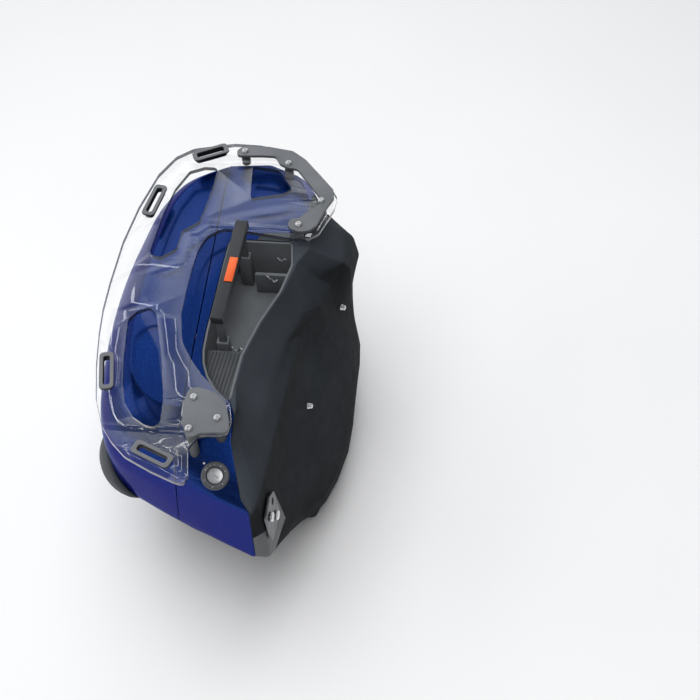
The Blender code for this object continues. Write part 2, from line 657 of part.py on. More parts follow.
head_z = PLATE_Z1 + 2 * GAP + BRACKET_T
for k, (x, y) in enumerate(UP_S + LO_S):
    br = upper if k < 4 else lower
    for tgt in (br, plate):
        hole = as_cutter(cyl("c_hole", SCREW_R + GAP, -20, 20, (x, y, PLATE_Z1), (0, 0, 1), 20, collection=cut_col))
        boolean(tgt, hole)
        drop(hole)
    # spacer from the case top up to the plate, foot let into the skin
    zt = top_at(x, y)
    foot = PLATE_Z0 - 12.0 if k == 0 else zt - 12.0
    hole = as_cutter(cyl("c_sp", SPACER_R + GAP, foot - 12 - zt, 40, (x, y, zt), (0, 0, 1), 24, collection=cut_col))
    if k > 0:
        for tgt in (body, casing):
            boolean(tgt, hole)
    drop(hole)
    sp = cyl("spacer_%d" % (k + 1), SPACER_R, 0, PLATE_Z0 - GAP - foot, (x, y, foot), (0, 0, 1), 24, 0.6)
    bore = as_cutter(cyl("c_bore", SCREW_R + GAP, -8.5, 20, (x, y, PLATE_Z0), (0, 0, 1), 20, collection=cut_col))
    boolean(sp, bore)
    drop(bore)
    finish(sp, "casing")
    prof = [(0, SCREW_HEAD_H - 1.0), (1.5, SCREW_HEAD_H - 1.0), (1.5, SCREW_HEAD_H), (2.4, SCREW_HEAD_H - 0.15), (3.8, SCREW_HEAD_H * 0.72), (SCREW_HEAD_R, 0.5),
            (SCREW_HEAD_R, 0.0), (SCREW_R, 0.0), (SCREW_R, -16.0), (0, -16.0)]
    sc = lathe("bracket_screw_%d" % (k + 1), prof, (x, y, head_z), (0, 0, 1), 20)
    finish(sc, "steel")

# ---------------------------------------------------------------- lock
n = Vector((0, -math.sin(LOCK_SLOPE), math.cos(LOCK_SLOPE)))
hole = as_cutter(cyl("c_lock", 13.0 + GAP, -40, 30, LOCK_C, n, 32, collection=cut_col))
boolean(body, hole)
boolean(casing, hole)
drop(hole)
ring = lathe("lock_ring", [(10.2, 2.6), (11.2, 3.4), (14.6, 3.4), (LOCK_R - 0.6, 2.6), (LOCK_R, 1.4), (LOCK_R, GAP), (13.0, GAP), (13.0, -26.0), (10.2, -26.0), (10.2, 2.6)],
             LOCK_C, n, 36)
cylinder = lathe("lock_cylinder", [(0, 2.2), (9.0, 2.2), (LOCK_CYL_R, 1.6), (LOCK_CYL_R, -30.0), (0, -30.0)], LOCK_C, n, 32)
lrot = axis_rot(n)
key = as_cutter(box("c_key", Vector(LOCK_C) + n * 1.0, (8.5, 1.5, 6.0), lrot @ Matrix.Rotation(math.radians(-32), 3, "Z"), cut_col))
boolean(cylinder, key)
drop(key)
cam_c = Vector(LOCK_C) - n * 32.3
cam = box("lock_cam", cam_c + (lrot @ Vector((5.0, 0, 0))), (24, 12, 3.0), lrot)
bevel(cam, 2.5, 2)
dot = cyl("lock_dot", 1.3, GAP, 1.1, Vector(LOCK_C) + lrot @ Vector((-14.0, 13.6, 0)), n, 14)

# latch bolt slides across the parting line into a keeper on the lid
LZ, LY = 20.0, -152.0
latch = box("latch_bolt", (-52.0, LY, LZ), (34, 14, 8))
bevel(latch, 1.2, 2)
guide = box("latch_guide", (-36.0, LY, LZ), (12, 26, 20))
gh = as_cutter(box("c_gh", (-36.0, LY, LZ), (40, 14.6, 8.6), collection=cut_col))
boolean(guide, gh)
drop(gh)
keeper = box("latch_keeper", (-71.0, LY, LZ), (9, 30, 24))
gh = as_cutter(box("c_gh", (-71.0, LY, LZ), (40, 15.4, 9.4), collection=cut_col))
boolean(keeper, gh)
drop(gh)

# ---------------------------------------------------------------- hinge
hy0, hy1 = HINGE_Y0, HINGE_Y1
notch = as_cutter(box("c_notch", (HINGE_X - 1.5, (hy0 + hy1) / 2, HINGE_Z), (27, hy1 - hy0 + 10, 18), collection=cut_col))
boolean(lid, notch)
boolean(casing, notch)
drop(notch)
pin = cyl("hinge_pin", 2.0, -(hy1 - hy0) / 2, (hy1 - hy0) / 2, (HINGE_X, (hy0 + hy1) / 2, HINGE_Z), (0, 1, 0), 20, 0.4)
seg = (hy1 - hy0) / 5.0


def leaf(name, idx, profile):
    base = prism_y(name, [(HINGE_X + x, HINGE_Z + z) for x, z in profile], hy0, hy1)
    for i in idx:
        yc = hy0 + seg * (i + 0.5)
        k = cyl("kn", 4.2, -seg / 2 + GAP, seg / 2 - GAP, (HINGE_X, yc, HINGE_Z), (0, 1, 0), 20)
        boolean(base, k, "UNION")
        drop(k)
    for i in range(5):
        if i in idx:
            continue
        yc = hy0 + seg * (i + 0.5)
        c = as_cutter(cyl("c_kn", 4.6, -seg / 2 - GAP * 0.55, seg / 2 + GAP * 0.55, (HINGE_X, yc, HINGE_Z), (0, 1, 0), 20, collection=cut_col))
        boolean(base, c)
        drop(c)
    b = as_cutter(cyl("c_b", 2.3, -80, 80, (HINGE_X, (hy0 + hy1) / 2, HINGE_Z), (0, 1, 0), 20, collection=cut_col))
    boolean(base, b)
    drop(b)
    return base


floor_dz = Z_BASE + WALL + GAP - HINGE_Z
leaf_body = leaf("hinge_leaf_body", (0, 2, 4), [(2, -0.9), (29, -0.9), (29, floor_dz), (26, floor_dz), (26, -3.9), (2, -3.9)])
leaf_lid = leaf("hinge_leaf_lid", (1, 3), [(1, 1.5), (11.2, 1.5), (11.2, 17), (8.2, 17), (8.2, 4.5), (1, 4.5)])

# ---------------------------------------------------------------- wheel-side fittings
# folded steel mount bracket near the front corner, on the wheel side
bm_pts = [(-66, -86), (-40, -92), (-4, -90), (2, -60), (-18, -34), (-52, -38)]


def side_frame(z, y):
    """point and outward normal of the wheel-side wall"""
    best = None
    for zz in (z,):
        o = outline(zz)
        m = len(o)
        for i in range(m):
            a, b = o[i], o[(i + 1) % m]
            if min(a[1], b[1]) <= y <= max(a[1], b[1]) and a[1] != b[1]:
                t = (y - a[1]) / (b[1] - a[1])
                x = a[0] + t * (b[0] - a[0])
                if best is None or x > best[0]:
                    best = (x, i)
    return best[0]


def wall_normal(z, y, h=6.0):
    px = Vector((side_frame(z, y), y, z))
    dy = Vector((side_frame(z, y + h) - side_frame(z, y - h), 2 * h, 0))
    dz = Vector((side_frame(z + h, y) - side_frame(z - h, y), 0, 2 * h))
    nn = dy.cross(dz)
    nn.normalize()
    if nn.x < 0:
        nn = -nn
    return px, nn, dy.normalized()


p0, nrm, along = wall_normal(-40.0, -218.0)
up = nrm.cross(along).normalized()
if up.z < 0:
    up = -up
frame_m = Matrix((along, up, nrm)).transposed()
mb = prism("mount_bracket", rounded([(-24, -26), (20, -30), (24, 14), (8, 26), (-18, 22)], 4, 2), 0, 3.0)
# prism is drawn about the working origin; carry it onto the wall
o = W((0, 0, 0))
mb.data.transform(Matrix.Translation(-o))
mb.data.transform(frame_m.to_4x4())
base_pt = p0 + nrm * 2.2
mb.data.transform(Matrix.Translation(W(base_pt)))
for k, (a, b) in enumerate([(-8, 8), (6, -14)]):
    c = base_pt + along * a + up * b
    hole = as_cutter(cyl("c_h", 3.3, -20, 20, c, nrm, 20, collection=cut_col))
    boolean(mb, hole)
    drop(hole)
    hole = as_cutter(cyl("c_h", 3.3, -18, 8, c, nrm, 20, collection=cut_col))
    boolean(casing, hole)
    boolean(guard, hole)
    drop(hole)
    b_ = lathe("mount_bolt_%d" % (k + 1), [(0, 7.2), (5.2, 7.2), (6.0, 6.4), (6.0, 3.3), (3.0, 3.3), (3.0, -9.0), (0, -9.0)], c, nrm, 24)
    finish(b_, "steel")
hole = as_cutter(cyl("c_h", 4.5, -20, 20, base_pt + along * 12 + up * 10, nrm, 20, collection=cut_col))
boolean(mb, hole)
drop(hole)

# two locating studs in the wheel-side wall
for k, (zz, yy) in enumerate([(-52.0, 108.0), (-66.0, -46.0)]):
    p, nn, _ = wall_normal(zz, yy)
    hole = as_cutter(cyl("c_h", 4.3, -30, 14, p, nn, 20, collection=cut_col))
    boolean(casing, hole)
    drop(hole)
    st = lathe("locating_stud_%d" % (k + 1), [(0, 6.0), (2.4, 6.0), (3.4, 5.0), (3.4, 1.4), (4.0, 1.2), (4.0, -9.0), (0, -9.0)], p, nn, 20)
    finish(st, "steel")

# ---------------------------------------------------------------- corner bumper
def flank(z, t):
    """point and plan normal along the painted front corner, t in 0..1"""
    s = interp(z, SIDE, True)
    pts = smooth_loop([tuple(p) for p in s[1:8]], 8, closed=False)
    P = np.array(pts)
    d = np.r_[0, np.cumsum(np.linalg.norm(np.diff(P, axis=0), axis=1))]
    q = t * d[-1]
    i = min(int(np.searchsorted(d, q, side="right")) - 1, len(P) - 2)
    f = (q - d[i]) / max(d[i + 1] - d[i], 1e-9)
    p = P[i] * (1 - f) + P[i + 1] * f
    e = P[min(i + 2, len(P) - 1)] - P[max(i - 1, 0)]
    e = e / np.linalg.norm(e)
    return p, np.array([e[1], -e[0]]) * -1.0


BUMP_Z = [-84.0, -90.0, -112.0, -136.0, -146.0]
rings = []
NT = 17
cx_, cy_ = -60.0, 0.0
for k in range(NT):
    t = k / (NT - 1)
    tt = 0.085 + 0.335 * t
    bulge = math.sin(math.pi * t) ** 0.65 if 0 < t < 1 else 0.0
    ring_pts = []
    zk = [-110.0 + (z + 110.0) * (0.4 + 0.6 * bulge) for z in BUMP_Z]
    for z, o_ in zip(zk, (0.6, 1.0, 1.0, 0.85, 0.4)):
        p, nn = flank(z, tt)
        if np.dot(nn, p - np.array([cx_, cy_])) < 0:
            nn = -nn
        q = p + nn * (0.9 + 1.6 + 13.0 * bulge * o_)
        ring_pts.append((q[0], q[1], z))
    for z in reversed(zk):
        p, nn = flank(z, tt)
        if np.dot(nn, p - np.array([cx_, cy_])) < 0:
            nn = -nn
        q = p + nn * 0.9
        ring_pts.append((q[0], q[1], z))
    rings.append(ring_pts)
bumper = loft("corner_bumper", rings)

# ---------------------------------------------------------------- feet
for k, (x, y) in enumerate([(72, -60), (72, 88), (-104, -30), (-104, 70)]):
    f = cyl("foot_%d" % (k + 1), 11.0, FLOOR, Z_BASE - GAP, (x, y, 0), (0, 0, 1), 24, 1.5)
    finish(f, "rubber")

# ---------------------------------------------------------------- lid seal
outer = as_cutter(loft("c_seal_out", case_rings(WALL + 0.6), cut_col))
inner = as_cutter(loft("c_seal_in", case_rings(WALL + 3.6), cut_col))
seal = loft("lid_seal", case_rings(WALL + 0.6))
slab_pts = [(seam_x(250) + 5.5, 250), (seam_x(SEAM_BEND) + 5.5, SEAM_BEND), (HINGE_X + 14, HINGE_Z + 20.0),
            (HINGE_X + 9, HINGE_Z + 20.0), (seam_x(SEAM_BEND) + 0.6, SEAM_BEND), (seam_x(250) + 0.6, 250)]
slab = as_cutter(prism_y("c_slab", slab_pts, -420, 420, cut_col))
boolean(seal, slab, "INTERSECT")
boolean(seal, inner)
for src in ("latch_guide", "latch_bolt"):
    pass
lk = as_cutter(box("c_lk", (-52.0, LY, LZ), (44, 30, 24), collection=cut_col))
boolean(seal, lk)
drop(lk)

# ---------------------------------------------------------------- finish
finish(lid, "paint", (HINGE_X, 0, HINGE_Z))
finish(body, "paint")
finish(casing, "casing")
finish(guard, "bumper")
finish(recess, "liner")
finish(grip, "grip")
finish(rib, "liner")
finish(bar, "bar", HANDLE_C)
for a in arms:
    finish(a, "liner", HANDLE_C)
finish(tab, "orange", HANDLE_C)
for c_ in clips:
    finish(c_, "steel")
finish(plate, "clear")
finish(upper, "bracket")
finish(lower, "bracket")
finish(ring, "ring")
finish(cylinder, "steel", LOCK_C)
finish(cam, "zinc", LOCK_C)
finish(dot, "clear")
finish(latch, "zinc", (-52.0, LY, LZ))
finish(guide, "casing")
finish(keeper, "casing", (HINGE_X, 0, HINGE_Z))
finish(pin, "steel", (HINGE_X, 0, HINGE_Z))
finish(leaf_body, "casing", (HINGE_X, 0, HINGE_Z))
finish(leaf_lid, "casing", (HINGE_X, 0, HINGE_Z))
finish(mb, "zinc")
finish(bumper, "bumper", (HINGE_X, 0, HINGE_Z))
finish(seal, "seal")
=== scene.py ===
import bpy
import bmesh
import json
import math
import numpy as np
from mathutils import Vector, Matrix

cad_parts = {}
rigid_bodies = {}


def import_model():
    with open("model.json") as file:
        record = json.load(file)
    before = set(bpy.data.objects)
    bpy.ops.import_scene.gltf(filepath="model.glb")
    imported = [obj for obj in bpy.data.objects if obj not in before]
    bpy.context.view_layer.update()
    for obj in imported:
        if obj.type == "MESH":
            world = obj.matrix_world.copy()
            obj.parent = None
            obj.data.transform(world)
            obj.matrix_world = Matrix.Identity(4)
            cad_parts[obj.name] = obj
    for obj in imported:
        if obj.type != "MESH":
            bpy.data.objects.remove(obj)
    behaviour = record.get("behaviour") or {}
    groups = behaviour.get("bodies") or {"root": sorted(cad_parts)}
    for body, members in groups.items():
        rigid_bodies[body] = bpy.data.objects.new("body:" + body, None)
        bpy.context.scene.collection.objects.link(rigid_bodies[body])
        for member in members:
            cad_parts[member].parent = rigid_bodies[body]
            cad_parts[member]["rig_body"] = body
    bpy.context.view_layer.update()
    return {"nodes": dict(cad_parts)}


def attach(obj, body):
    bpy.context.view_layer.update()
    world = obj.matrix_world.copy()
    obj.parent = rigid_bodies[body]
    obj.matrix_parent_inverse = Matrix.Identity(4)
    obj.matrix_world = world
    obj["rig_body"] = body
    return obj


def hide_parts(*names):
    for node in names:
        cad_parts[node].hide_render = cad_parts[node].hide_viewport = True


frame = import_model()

nodes = frame["nodes"]

# ---------------------------------------------------------------- dimensions (mm, working frame of the CAD)
OX, OY, OZ = 32.685, -6.491, 300.0
MM = 0.001
FLOOR = -300.0            # underside of the feet
Z_BASE = -290.0           # underside of the case
Z_TOP = 72.0              # top of the case
WALL = 4.0                # skin of lid and casing
GAP = 0.3                 # between touching pieces
SEAM_X0, SEAM_K = -62.8, 0.094    # parting plane  x = SEAM_X0 + SEAM_K*z
SEAM_BEND = -100.0        # below this the parting line runs out to the hinge
HINGE_X, HINGE_Z = -152.5, -264.0
HINGE_Y0, HINGE_Y1 = -20.0, 56.0
PLATE_Z0, PLATE_Z1 = 86.0, 92.0
BRACKET_T = 4.0
HANDLE_YAW = math.radians(-3.4)
HANDLE_C = (-20.0, 30.0, 112.0)   # bar centre, pulled up
HANDLE_LEN = 156.0
LEG_Z0, SOCKET_Z1 = 51.0, 61.5    # lower end of the legs, mouth of the sockets
BAR_W, BAR_T = 16.5, 12.0
LOCK_C = (-11.0, -210.0, 31.6)
LOCK_SLOPE = math.radians(31.0)
LOCK_R, LOCK_CYL_R = 16.8, 9.8
SCREW_HEAD_R, SCREW_HEAD_H, SCREW_R = 4.75, 2.7, 2.5
SPACER_R = 6.0

LEVELS = [72.0, 56.0, 34.0, 10.0, -30.0, -90.0, -150.0, -210.0, -262.0, -290.0]
FRONT = [
    [(9, -146), (-18, -148)],
    [(3, -168), (-22, -169)],
    [(13, -206), (-16, -206)],
    [(35, -246), (-8, -229)],
    [(33, -249), (-8, -233)],
    [(26, -253), (-8, -239)],
    [(27, -207), (-8, -196)],
    [(30, -160), (-8, -152)],
    [(34, -119), (-8, -114)],
    [(38, -98), (-8, -96)],
]
SIDE = [
    [(-54, -147), (-88, -139), (-112, -120), (-127, -92), (-134, -54), (-137, 5), (-134, 66), (-128, 124), (-117, 182), (-91, 222), (-54, 245)],
    [(-56, -172), (-95, -162), (-126, -140), (-144, -108), (-153, -62), (-157, 2), (-154, 66), (-146, 124), (-134, 185), (-108, 229), (-57, 253)],
    [(-52, -199), (-98, -180), (-137, -157), (-158, -123), (-168, -70), (-172, 0), (-169, 70), (-160, 132), (-146, 193), (-115, 240), (-60, 258)],
    [(-50, -210), (-102, -187), (-146, -163), (-167, -128), (-177, -74), (-181, 0), (-178, 72), (-168, 136), (-152, 196), (-119, 243), (-62, 260)],
    [(-50, -215), (-106, -191), (-152, -165), (-173, -129), (-183, -76), (-187, 0), (-183, 75), (-173, 140), (-155, 198), (-121, 243), (-62, 260)],
    [(-50, -219), (-106, -192), (-150, -166), (-173, -131), (-184, -80), (-188, 0), (-184, 75), (-173, 138), (-154, 191), (-118, 232), (-62, 249)],
    [(-50, -178), (-102, -156), (-142, -134), (-166, -106), (-178, -64), (-182, 0), (-178, 66), (-167, 122), (-148, 170), (-113, 208), (-62, 224)],
    [(-54, -136), (-98, -117), (-132, -98), (-154, -77), (-166, -44), (-170, 5), (-166, 58), (-155, 105), (-137, 146), (-106, 178), (-62, 193)],
    [(-58, -102), (-96, -89), (-122, -73), (-140, -53), (-150, -26), (-154, 14), (-151, 54), (-141, 90), (-125, 122), (-100, 148), (-62, 162)],
    [(-58, -86), (-90, -76), (-110, -62), (-124, -44), (-132, -20), (-135, 14), (-132, 48), (-124, 78), (-110, 104), (-90, 124), (-60, 136)],
]
REAR = [
    [(0, 250), (42, 230)],
    [(0, 257), (48, 240)],
    [(0, 261), (54, 247)],
    [(0, 263), (60, 249)],
    [(0, 263), (64, 250)],
    [(0, 249), (62, 242)],
    [(0, 224), (62, 219)],
    [(0, 194), (62, 190)],
    [(0, 164), (60, 162)],
    [(0, 138), (56, 136)],
]
# wheel side, rear to front
CASING = [
    [(62, 182), (68, 144), (66, 104), (54, 82), (42, 36), (22, -12), (6, -65), (2, -109), (5, -129), (8, -141)],
    [(66, 196), (84, 160), (84, 110), (66, 84), (51, 32), (33, -16), (20, -68), (15, -116), (15, -140), (10, -158)],
    [(76, 206), (107, 173), (110, 116), (78, 88), (66, 30), (50, -18), (40, -66), (34, -122), (30, -156), (22, -190)],
    [(80, 216), (118, 182), (118, 126), (93, 98), (84, 62), (61, 12), (56, -50), (50, -108), (44, -190), (40, -228)],
    [(82, 218), (125, 188), (117, 136), (98, 96), (88, 58), (68, 4), (62, -58), (54, -112), (46, -196), (44, -236)],
    [(84, 214), (114, 192), (114, 150), (110, 104), (104, 64), (93, 10), (80, -62), (66, -118), (54, -196), (49, -253)],
    [(84, 204), (113, 182), (123, 140), (122, 100), (118, 58), (110, 2), (98, -66), (84, -116), (66, -168), (51, -206)],
    [(82, 182), (126, 162), (128, 126), (127, 90), (126, 50), (122, 0), (113, -56), (98, -98), (74, -134), (54, -160)],
    [(78, 158), (118, 142), (122, 112), (123, 80), (123, 46), (120, 0), (109, -46), (95, -82), (78, -106), (52, -119)],
    [(72, 134), (100, 122), (106, 98), (108, 72), (108, 42), (106, 2), (99, -38), (88, -70), (80, -94), (50, -98)],
]


def interp(z, table, smooth):
    zs = LEVELS
    z = max(min(z, zs[0]), zs[-1])
    A = np.array(table, float)
    k = 0
    while k < len(zs) - 2 and z < zs[k + 1]:
        k += 1
    t = (zs[k] - z) / (zs[k] - zs[k + 1])
    p1, p2 = A[k], A[k + 1]
    if not smooth:
        return p1 * (1 - t) + p2 * t
    h = zs[k] - zs[k + 1]

    def slope(i):
        if i <= 0:
            return (A[1] - A[0]) / (zs[0] - zs[1])
        if i >= len(zs) - 1:
            return (A[-1] - A[-2]) / (zs[-2] - zs[-1])
        d1 = (A[i] - A[i - 1]) / (zs[i - 1] - zs[i])
        d2 = (A[i + 1] - A[i]) / (zs[i] - zs[i + 1])
        w = np.where(d1 * d2 > 0, 2 * d1 * d2 / np.where(abs(d1 + d2) < 1e-9, 1e-9, d1 + d2), 0.0)
        return w
    m1, m2 = slope(k) * h, slope(k + 1) * h
    return ((2 * t ** 3 - 3 * t ** 2 + 1) * p1 + (t ** 3 - 2 * t ** 2 + t) * m1
            + (-2 * t ** 3 + 3 * t ** 2) * p2 + (t ** 3 - t ** 2) * m2)


def smooth_loop(pts, n, closed=True):
    """Catmull-Rom through points, n pieces per span"""
    P = [np.array(p, float) for p in pts]
    m = len(P)
    out = []
    spans = m if closed else m - 1
    for i in range(spans):
        if closed:
            p0, p1, p2, p3 = P[(i - 1) % m], P[i], P[(i + 1) % m], P[(i + 2) % m]
        else:
            p1, p2 = P[i], P[i + 1]
            p0 = P[i - 1] if i > 0 else 2 * p1 - p2
            p3 = P[i + 2] if i + 2 < m else 2 * p2 - p1
        for k in range(n):
            t = k / n
            out.append(tuple(0.5 * ((2 * p1) + (-p0 + p2) * t + (2 * p0 - 5 * p1 + 4 * p2 - p3) * t * t
                                    + (-p0 + 3 * p1 - 3 * p2 + p3) * t ** 3)))
    if not closed:
        out.append(tuple(P[-1]))
    return out


def rounded(pts, radii, seg=4):
    """polygon with each corner rounded"""
    n = len(pts)
    out = []
    for i in range(n):
        p = np.array(pts[i], float)
        a = np.array(pts[i - 1], float) - p
        b = np.array(pts[(i + 1) % n], float) - p
        r = radii[i] if hasattr(radii, "__len__") else radii
        la, lb = np.linalg.norm(a), np.linalg.norm(b)
        ua, ub = a / la, b / lb
        cosang = float(np.clip(np.dot(ua, ub), -1, 1))
        ang = math.acos(cosang)
        if r <= 0.01 or ang > math.radians(172):
            out.append(tuple(p))
            continue
        d = min(r / math.tan(ang / 2), la * 0.46, lb * 0.46)
        s, e = p + ua * d, p + ub * d
        for k in range(seg + 1):
            t = k / seg
            out.append(tuple((1 - t) ** 2 * s + 2 * t * (1 - t) * p + t * t * e))
    return out


def offset_loop(pts, d):
    """move every edge of a closed outline inwards by d (negative: outwards)"""
    n = len(pts)
    P = [np.array(p, float) for p in pts]
    area = 0.5 * sum(P[i][0] * P[(i + 1) % n][1] - P[(i + 1) % n][0] * P[i][1] for i in range(n))
    s = 1.0 if area > 0 else -1.0
    out = []
    for i in range(n):
        a, p, b = P[i - 1], P[i], P[(i + 1) % n]
        e1 = (p - a) / max(np.linalg.norm(p - a), 1e-9)
        e2 = (b - p) / max(np.linalg.norm(b - p), 1e-9)
        n1 = np.array([-e1[1], e1[0]]) * s
        n2 = np.array([-e2[1], e2[0]]) * s
        m = n1 + n2
        k = max(float(np.dot(m, m)), 0.6)
        out.append(tuple(p + m * (2.0 * d / k)))
    return out


def seam_x(z):
    if z >= SEAM_BEND:
        return SEAM_X0 + SEAM_K * z
    xb = SEAM_X0 + SEAM_K * SEAM_BEND
    return xb + (HINGE_X - xb) * (SEAM_BEND - z) / (SEAM_BEND - HINGE_Z)


PAINT_ZONE = [(30.5, -420), (30.5, -244.0), (29, -242), (20, -232), (13, -208), (4, -174), (6, -150), (-4, -126),
              (-24, -90), (-30, -20), (-12, 60), (-4, 112), (4, 128), (42, 130), (56, 142), (60, 175), (60, 420),
              (-220, 420), (-220, -420)]
TRENCH = ([(-3, -132), (-20, -116), (-32, -98), (-39, -80), (-42, -62), (-42, -32), (-39.5, 15), (-37, 76), (-34.5, 112)]
          + [(43, 112), (47, 78)] + [(37, 34), (17, -15), (2, -66), (-2, -112)])
TRENCH = [(float(x), float(y)) for x, y in TRENCH]
PLATE = [(-126, 237), (-104, 254), (-50, 267), (-15, 266), (30, 257), (51, 242), (86, 198), (98, 177), (96, 158), (80, 115),
         (67, 105), (45, 104), (-11, 112), (-44, 115), (-62, 100), (-69, 80), (-72, 56), (-74, 12), (-74, -27), (-66, -65),
         (-52, -89), (-36, -110), (-16, -130), (3, -146), (9, -170), (6, -190), (-26, -192), (-35, -209), (-29, -245), (-33, -255), (-45, -252),
         (-72, -241), (-104, -225), (-123, -207), (-138, -187), (-152, -152), (-162, -104), (-168, -61), (-171, -24), (-171, 17),
         (-168, 84), (-159, 144), (-144, 203)]
PLATE_R = [14, 12, 20, 20, 14, 12, 20, 9, 12, 9, 12, 20, 12, 14, 10, 20, 20, 30, 30, 30, 30, 20, 20, 10, 12, 8, 10, 10, 5, 5, 8,
           20, 20, 20, 20, 40, 40, 40, 40, 40, 40, 40, 20]
SLOTS = [((-80, 247), (49, 18), 26.0), ((-140, 156), (54, 17), 79.0), ((-147, -114), (52, 17), 101.0), ((-73, -221), (50, 18), -24.0)]
WIN_A = [(-20, 227), (16, 222), (37, 189), (25, 179), (-16, 169)]
WIN_B = [(-131, 66), (-125, 134), (-117, 179), (-103, 212), (-84, 221), (-66, 221), (-68, 182), (-76, 125), (-96, 107), (-98, 77), (-116, 62)]
WIN_C = [(-137, -37), (-131, -95), (-125, -130), (-117, -156), (-105, -173), (-89, -183), (-79, -186), (-72, -179), (-74, -148),
         (-86, -92), (-104, -27), (-114, -17), (-128, -24)]
UPPER = [(-43, 241), (-44, 252), (-36, 258), (-2, 260), (31, 254), (48, 241), (92, 187), (94, 173), (82, 145), (76, 124), (68, 115),
         (55, 112), (43, 116), (38, 124), (42, 133), (53, 136), (77, 162), (76, 172), (41, 221), (28, 223), (17, 229), (9, 243), (-10, 243)]
LOWER = [(-47, -140), (-44, -133), (-34, -131), (-15, -137), (0, -151), (6, -171), (8, -184), (4, -190), (-8, -190), (-24, -192), (-32, -198), (-39, -197), (-46, -181), (-49, -155)]
UP_S = [(-33, 250), (28, 231), (78, 167), (53, 124)]
LO_S = [(-38, -145), (-7, -171), (-37, -187)]
SEG_SIDE = 7
SEG_C = 4


def W(p):
    return Vector(((p[0] + OX) * MM, (p[1] + OY) * MM, (p[2] + OZ) * MM))


# ---------------------------------------------------------------- node helpers
def new_mat(name):
    m = bpy.data.materials.new(name)
    m.use_nodes = True
    nt = m.node_tree
    return m, nt, nt.nodes["Principled BSDF"]


def node(nt, kind, **kw):
    n = nt.nodes.new(kind)
    for k, v in kw.items():
        if k in n.inputs:
            n.inputs[k].default_value = v
        else:
            setattr(n, k, v)
    return n


def coords(nt):
    return node(nt, "ShaderNodeTexCoord").outputs["Object"]


def noise(nt, scale, detail=3.0, rough=0.55, vec=None):
    n = node(nt, "ShaderNodeTexNoise")
    n.inputs["Scale"].default_value = scale
    n.inputs["Detail"].default_value = detail
    n.inputs["Roughness"].default_value = rough
    nt.links.new(vec if vec is not None else coords(nt), n.inputs["Vector"])
    return n.outputs["Fac"]


def ramp(nt, fac, stops):
    r = node(nt, "ShaderNodeValToRGB")
    e = r.color_ramp.elements
    while len(e) < len(stops):
        e.new(0.5)
    for k, (p, c) in enumerate(stops):
        e[k].position = p
        e[k].color = (*c, 1.0) if hasattr(c, "__len__") else (c, c, c, 1.0)
    nt.links.new(fac, r.inputs["Fac"])
    return r.outputs["Color"]


def rangeof(nt, fac, a0, a1, b0, b1):
    m = node(nt, "ShaderNodeMapRange")
    for k, v in zip(("From Min", "From Max", "To Min", "To Max"), (a0, a1, b0, b1)):
        m.inputs[k].default_value = v
    nt.links.new(fac, m.inputs["Value"])
    return m.outputs["Result"]


def bump(nt, b, height, strength, dist=0.0004, edge=0.0):
    bp = node(nt, "ShaderNodeBump")
    bp.inputs["Strength"].default_value = strength
    bp.inputs["Distance"].default_value = dist
    nt.links.new(height, bp.inputs["Height"])
    if edge > 0:
        bv = node(nt, "ShaderNodeBevel")
        bv.samples = 6
        bv.inputs["Radius"].default_value = edge
        nt.links.new(bv.outputs["Normal"], bp.inputs["Normal"])
    nt.links.new(bp.outputs["Normal"], b.inputs["Normal"])


def plastic(name, dark, light, rough=(0.45, 0.65), grain=900.0, depth=0.35, edge=0.0006, spec=0.5):
    """moulded plastic: fine grain, slow colour drift and a worn sheen"""
    m, nt, b = new_mat(name)
    nt.links.new(ramp(nt, noise(nt, 14.0, 4.0), [(0.3, dark), (0.7, light)]), b.inputs["Base Color"])
    nt.links.new(rangeof(nt, noise(nt, 60.0, 3.0), 0.3, 0.7, rough[0], rough[1]), b.inputs["Roughness"])
    b.inputs["Specular IOR Level"].default_value = spec
    bump(nt, b, noise(nt, grain, 2.0, 0.6), depth, 0.0003, edge)
    return m


def painted_top_light(m, low, high):
    """painted light and shade: upward faces of a moulded piece are painted paler and its flanks darker, as light from
    above would make them look
    """
    nt = m.node_tree
    b = nt.nodes["Principled BSDF"]
    src = b.inputs["Base Color"].links[0].from_socket
    ge = node(nt, "ShaderNodeNewGeometry")
    sp = node(nt, "ShaderNodeSeparateXYZ")
    nt.links.new(ge.outputs["Normal"], sp.inputs[0])
    k = rangeof(nt, sp.outputs["Z"], 0.0, 0.85, low, high)
    sc = node(nt, "ShaderNodeVectorMath", operation="SCALE")
    nt.links.new(src, sc.inputs[0])
    nt.links.new(k, sc.inputs["Scale"])
    nt.links.new(sc.outputs[0], b.inputs["Base Color"])
    return m


def metal(name, dark, light, rough=(0.2, 0.35), grain=700.0, depth=0.08, edge=0.0003):
    m, nt, b = new_mat(name)
    b.inputs["Metallic"].default_value = 1.0
    nt.links.new(ramp(nt, noise(nt, 90.0, 4.0), [(0.3, dark), (0.7, light)]), b.inputs["Base Color"])
    nt.links.new(rangeof(nt, noise(nt, 240.0, 3.0), 0.3, 0.7, rough[0], rough[1]), b.inputs["Roughness"])
    bump(nt, b, noise(nt, grain, 2.0), depth, 0.0002, edge)
    return m


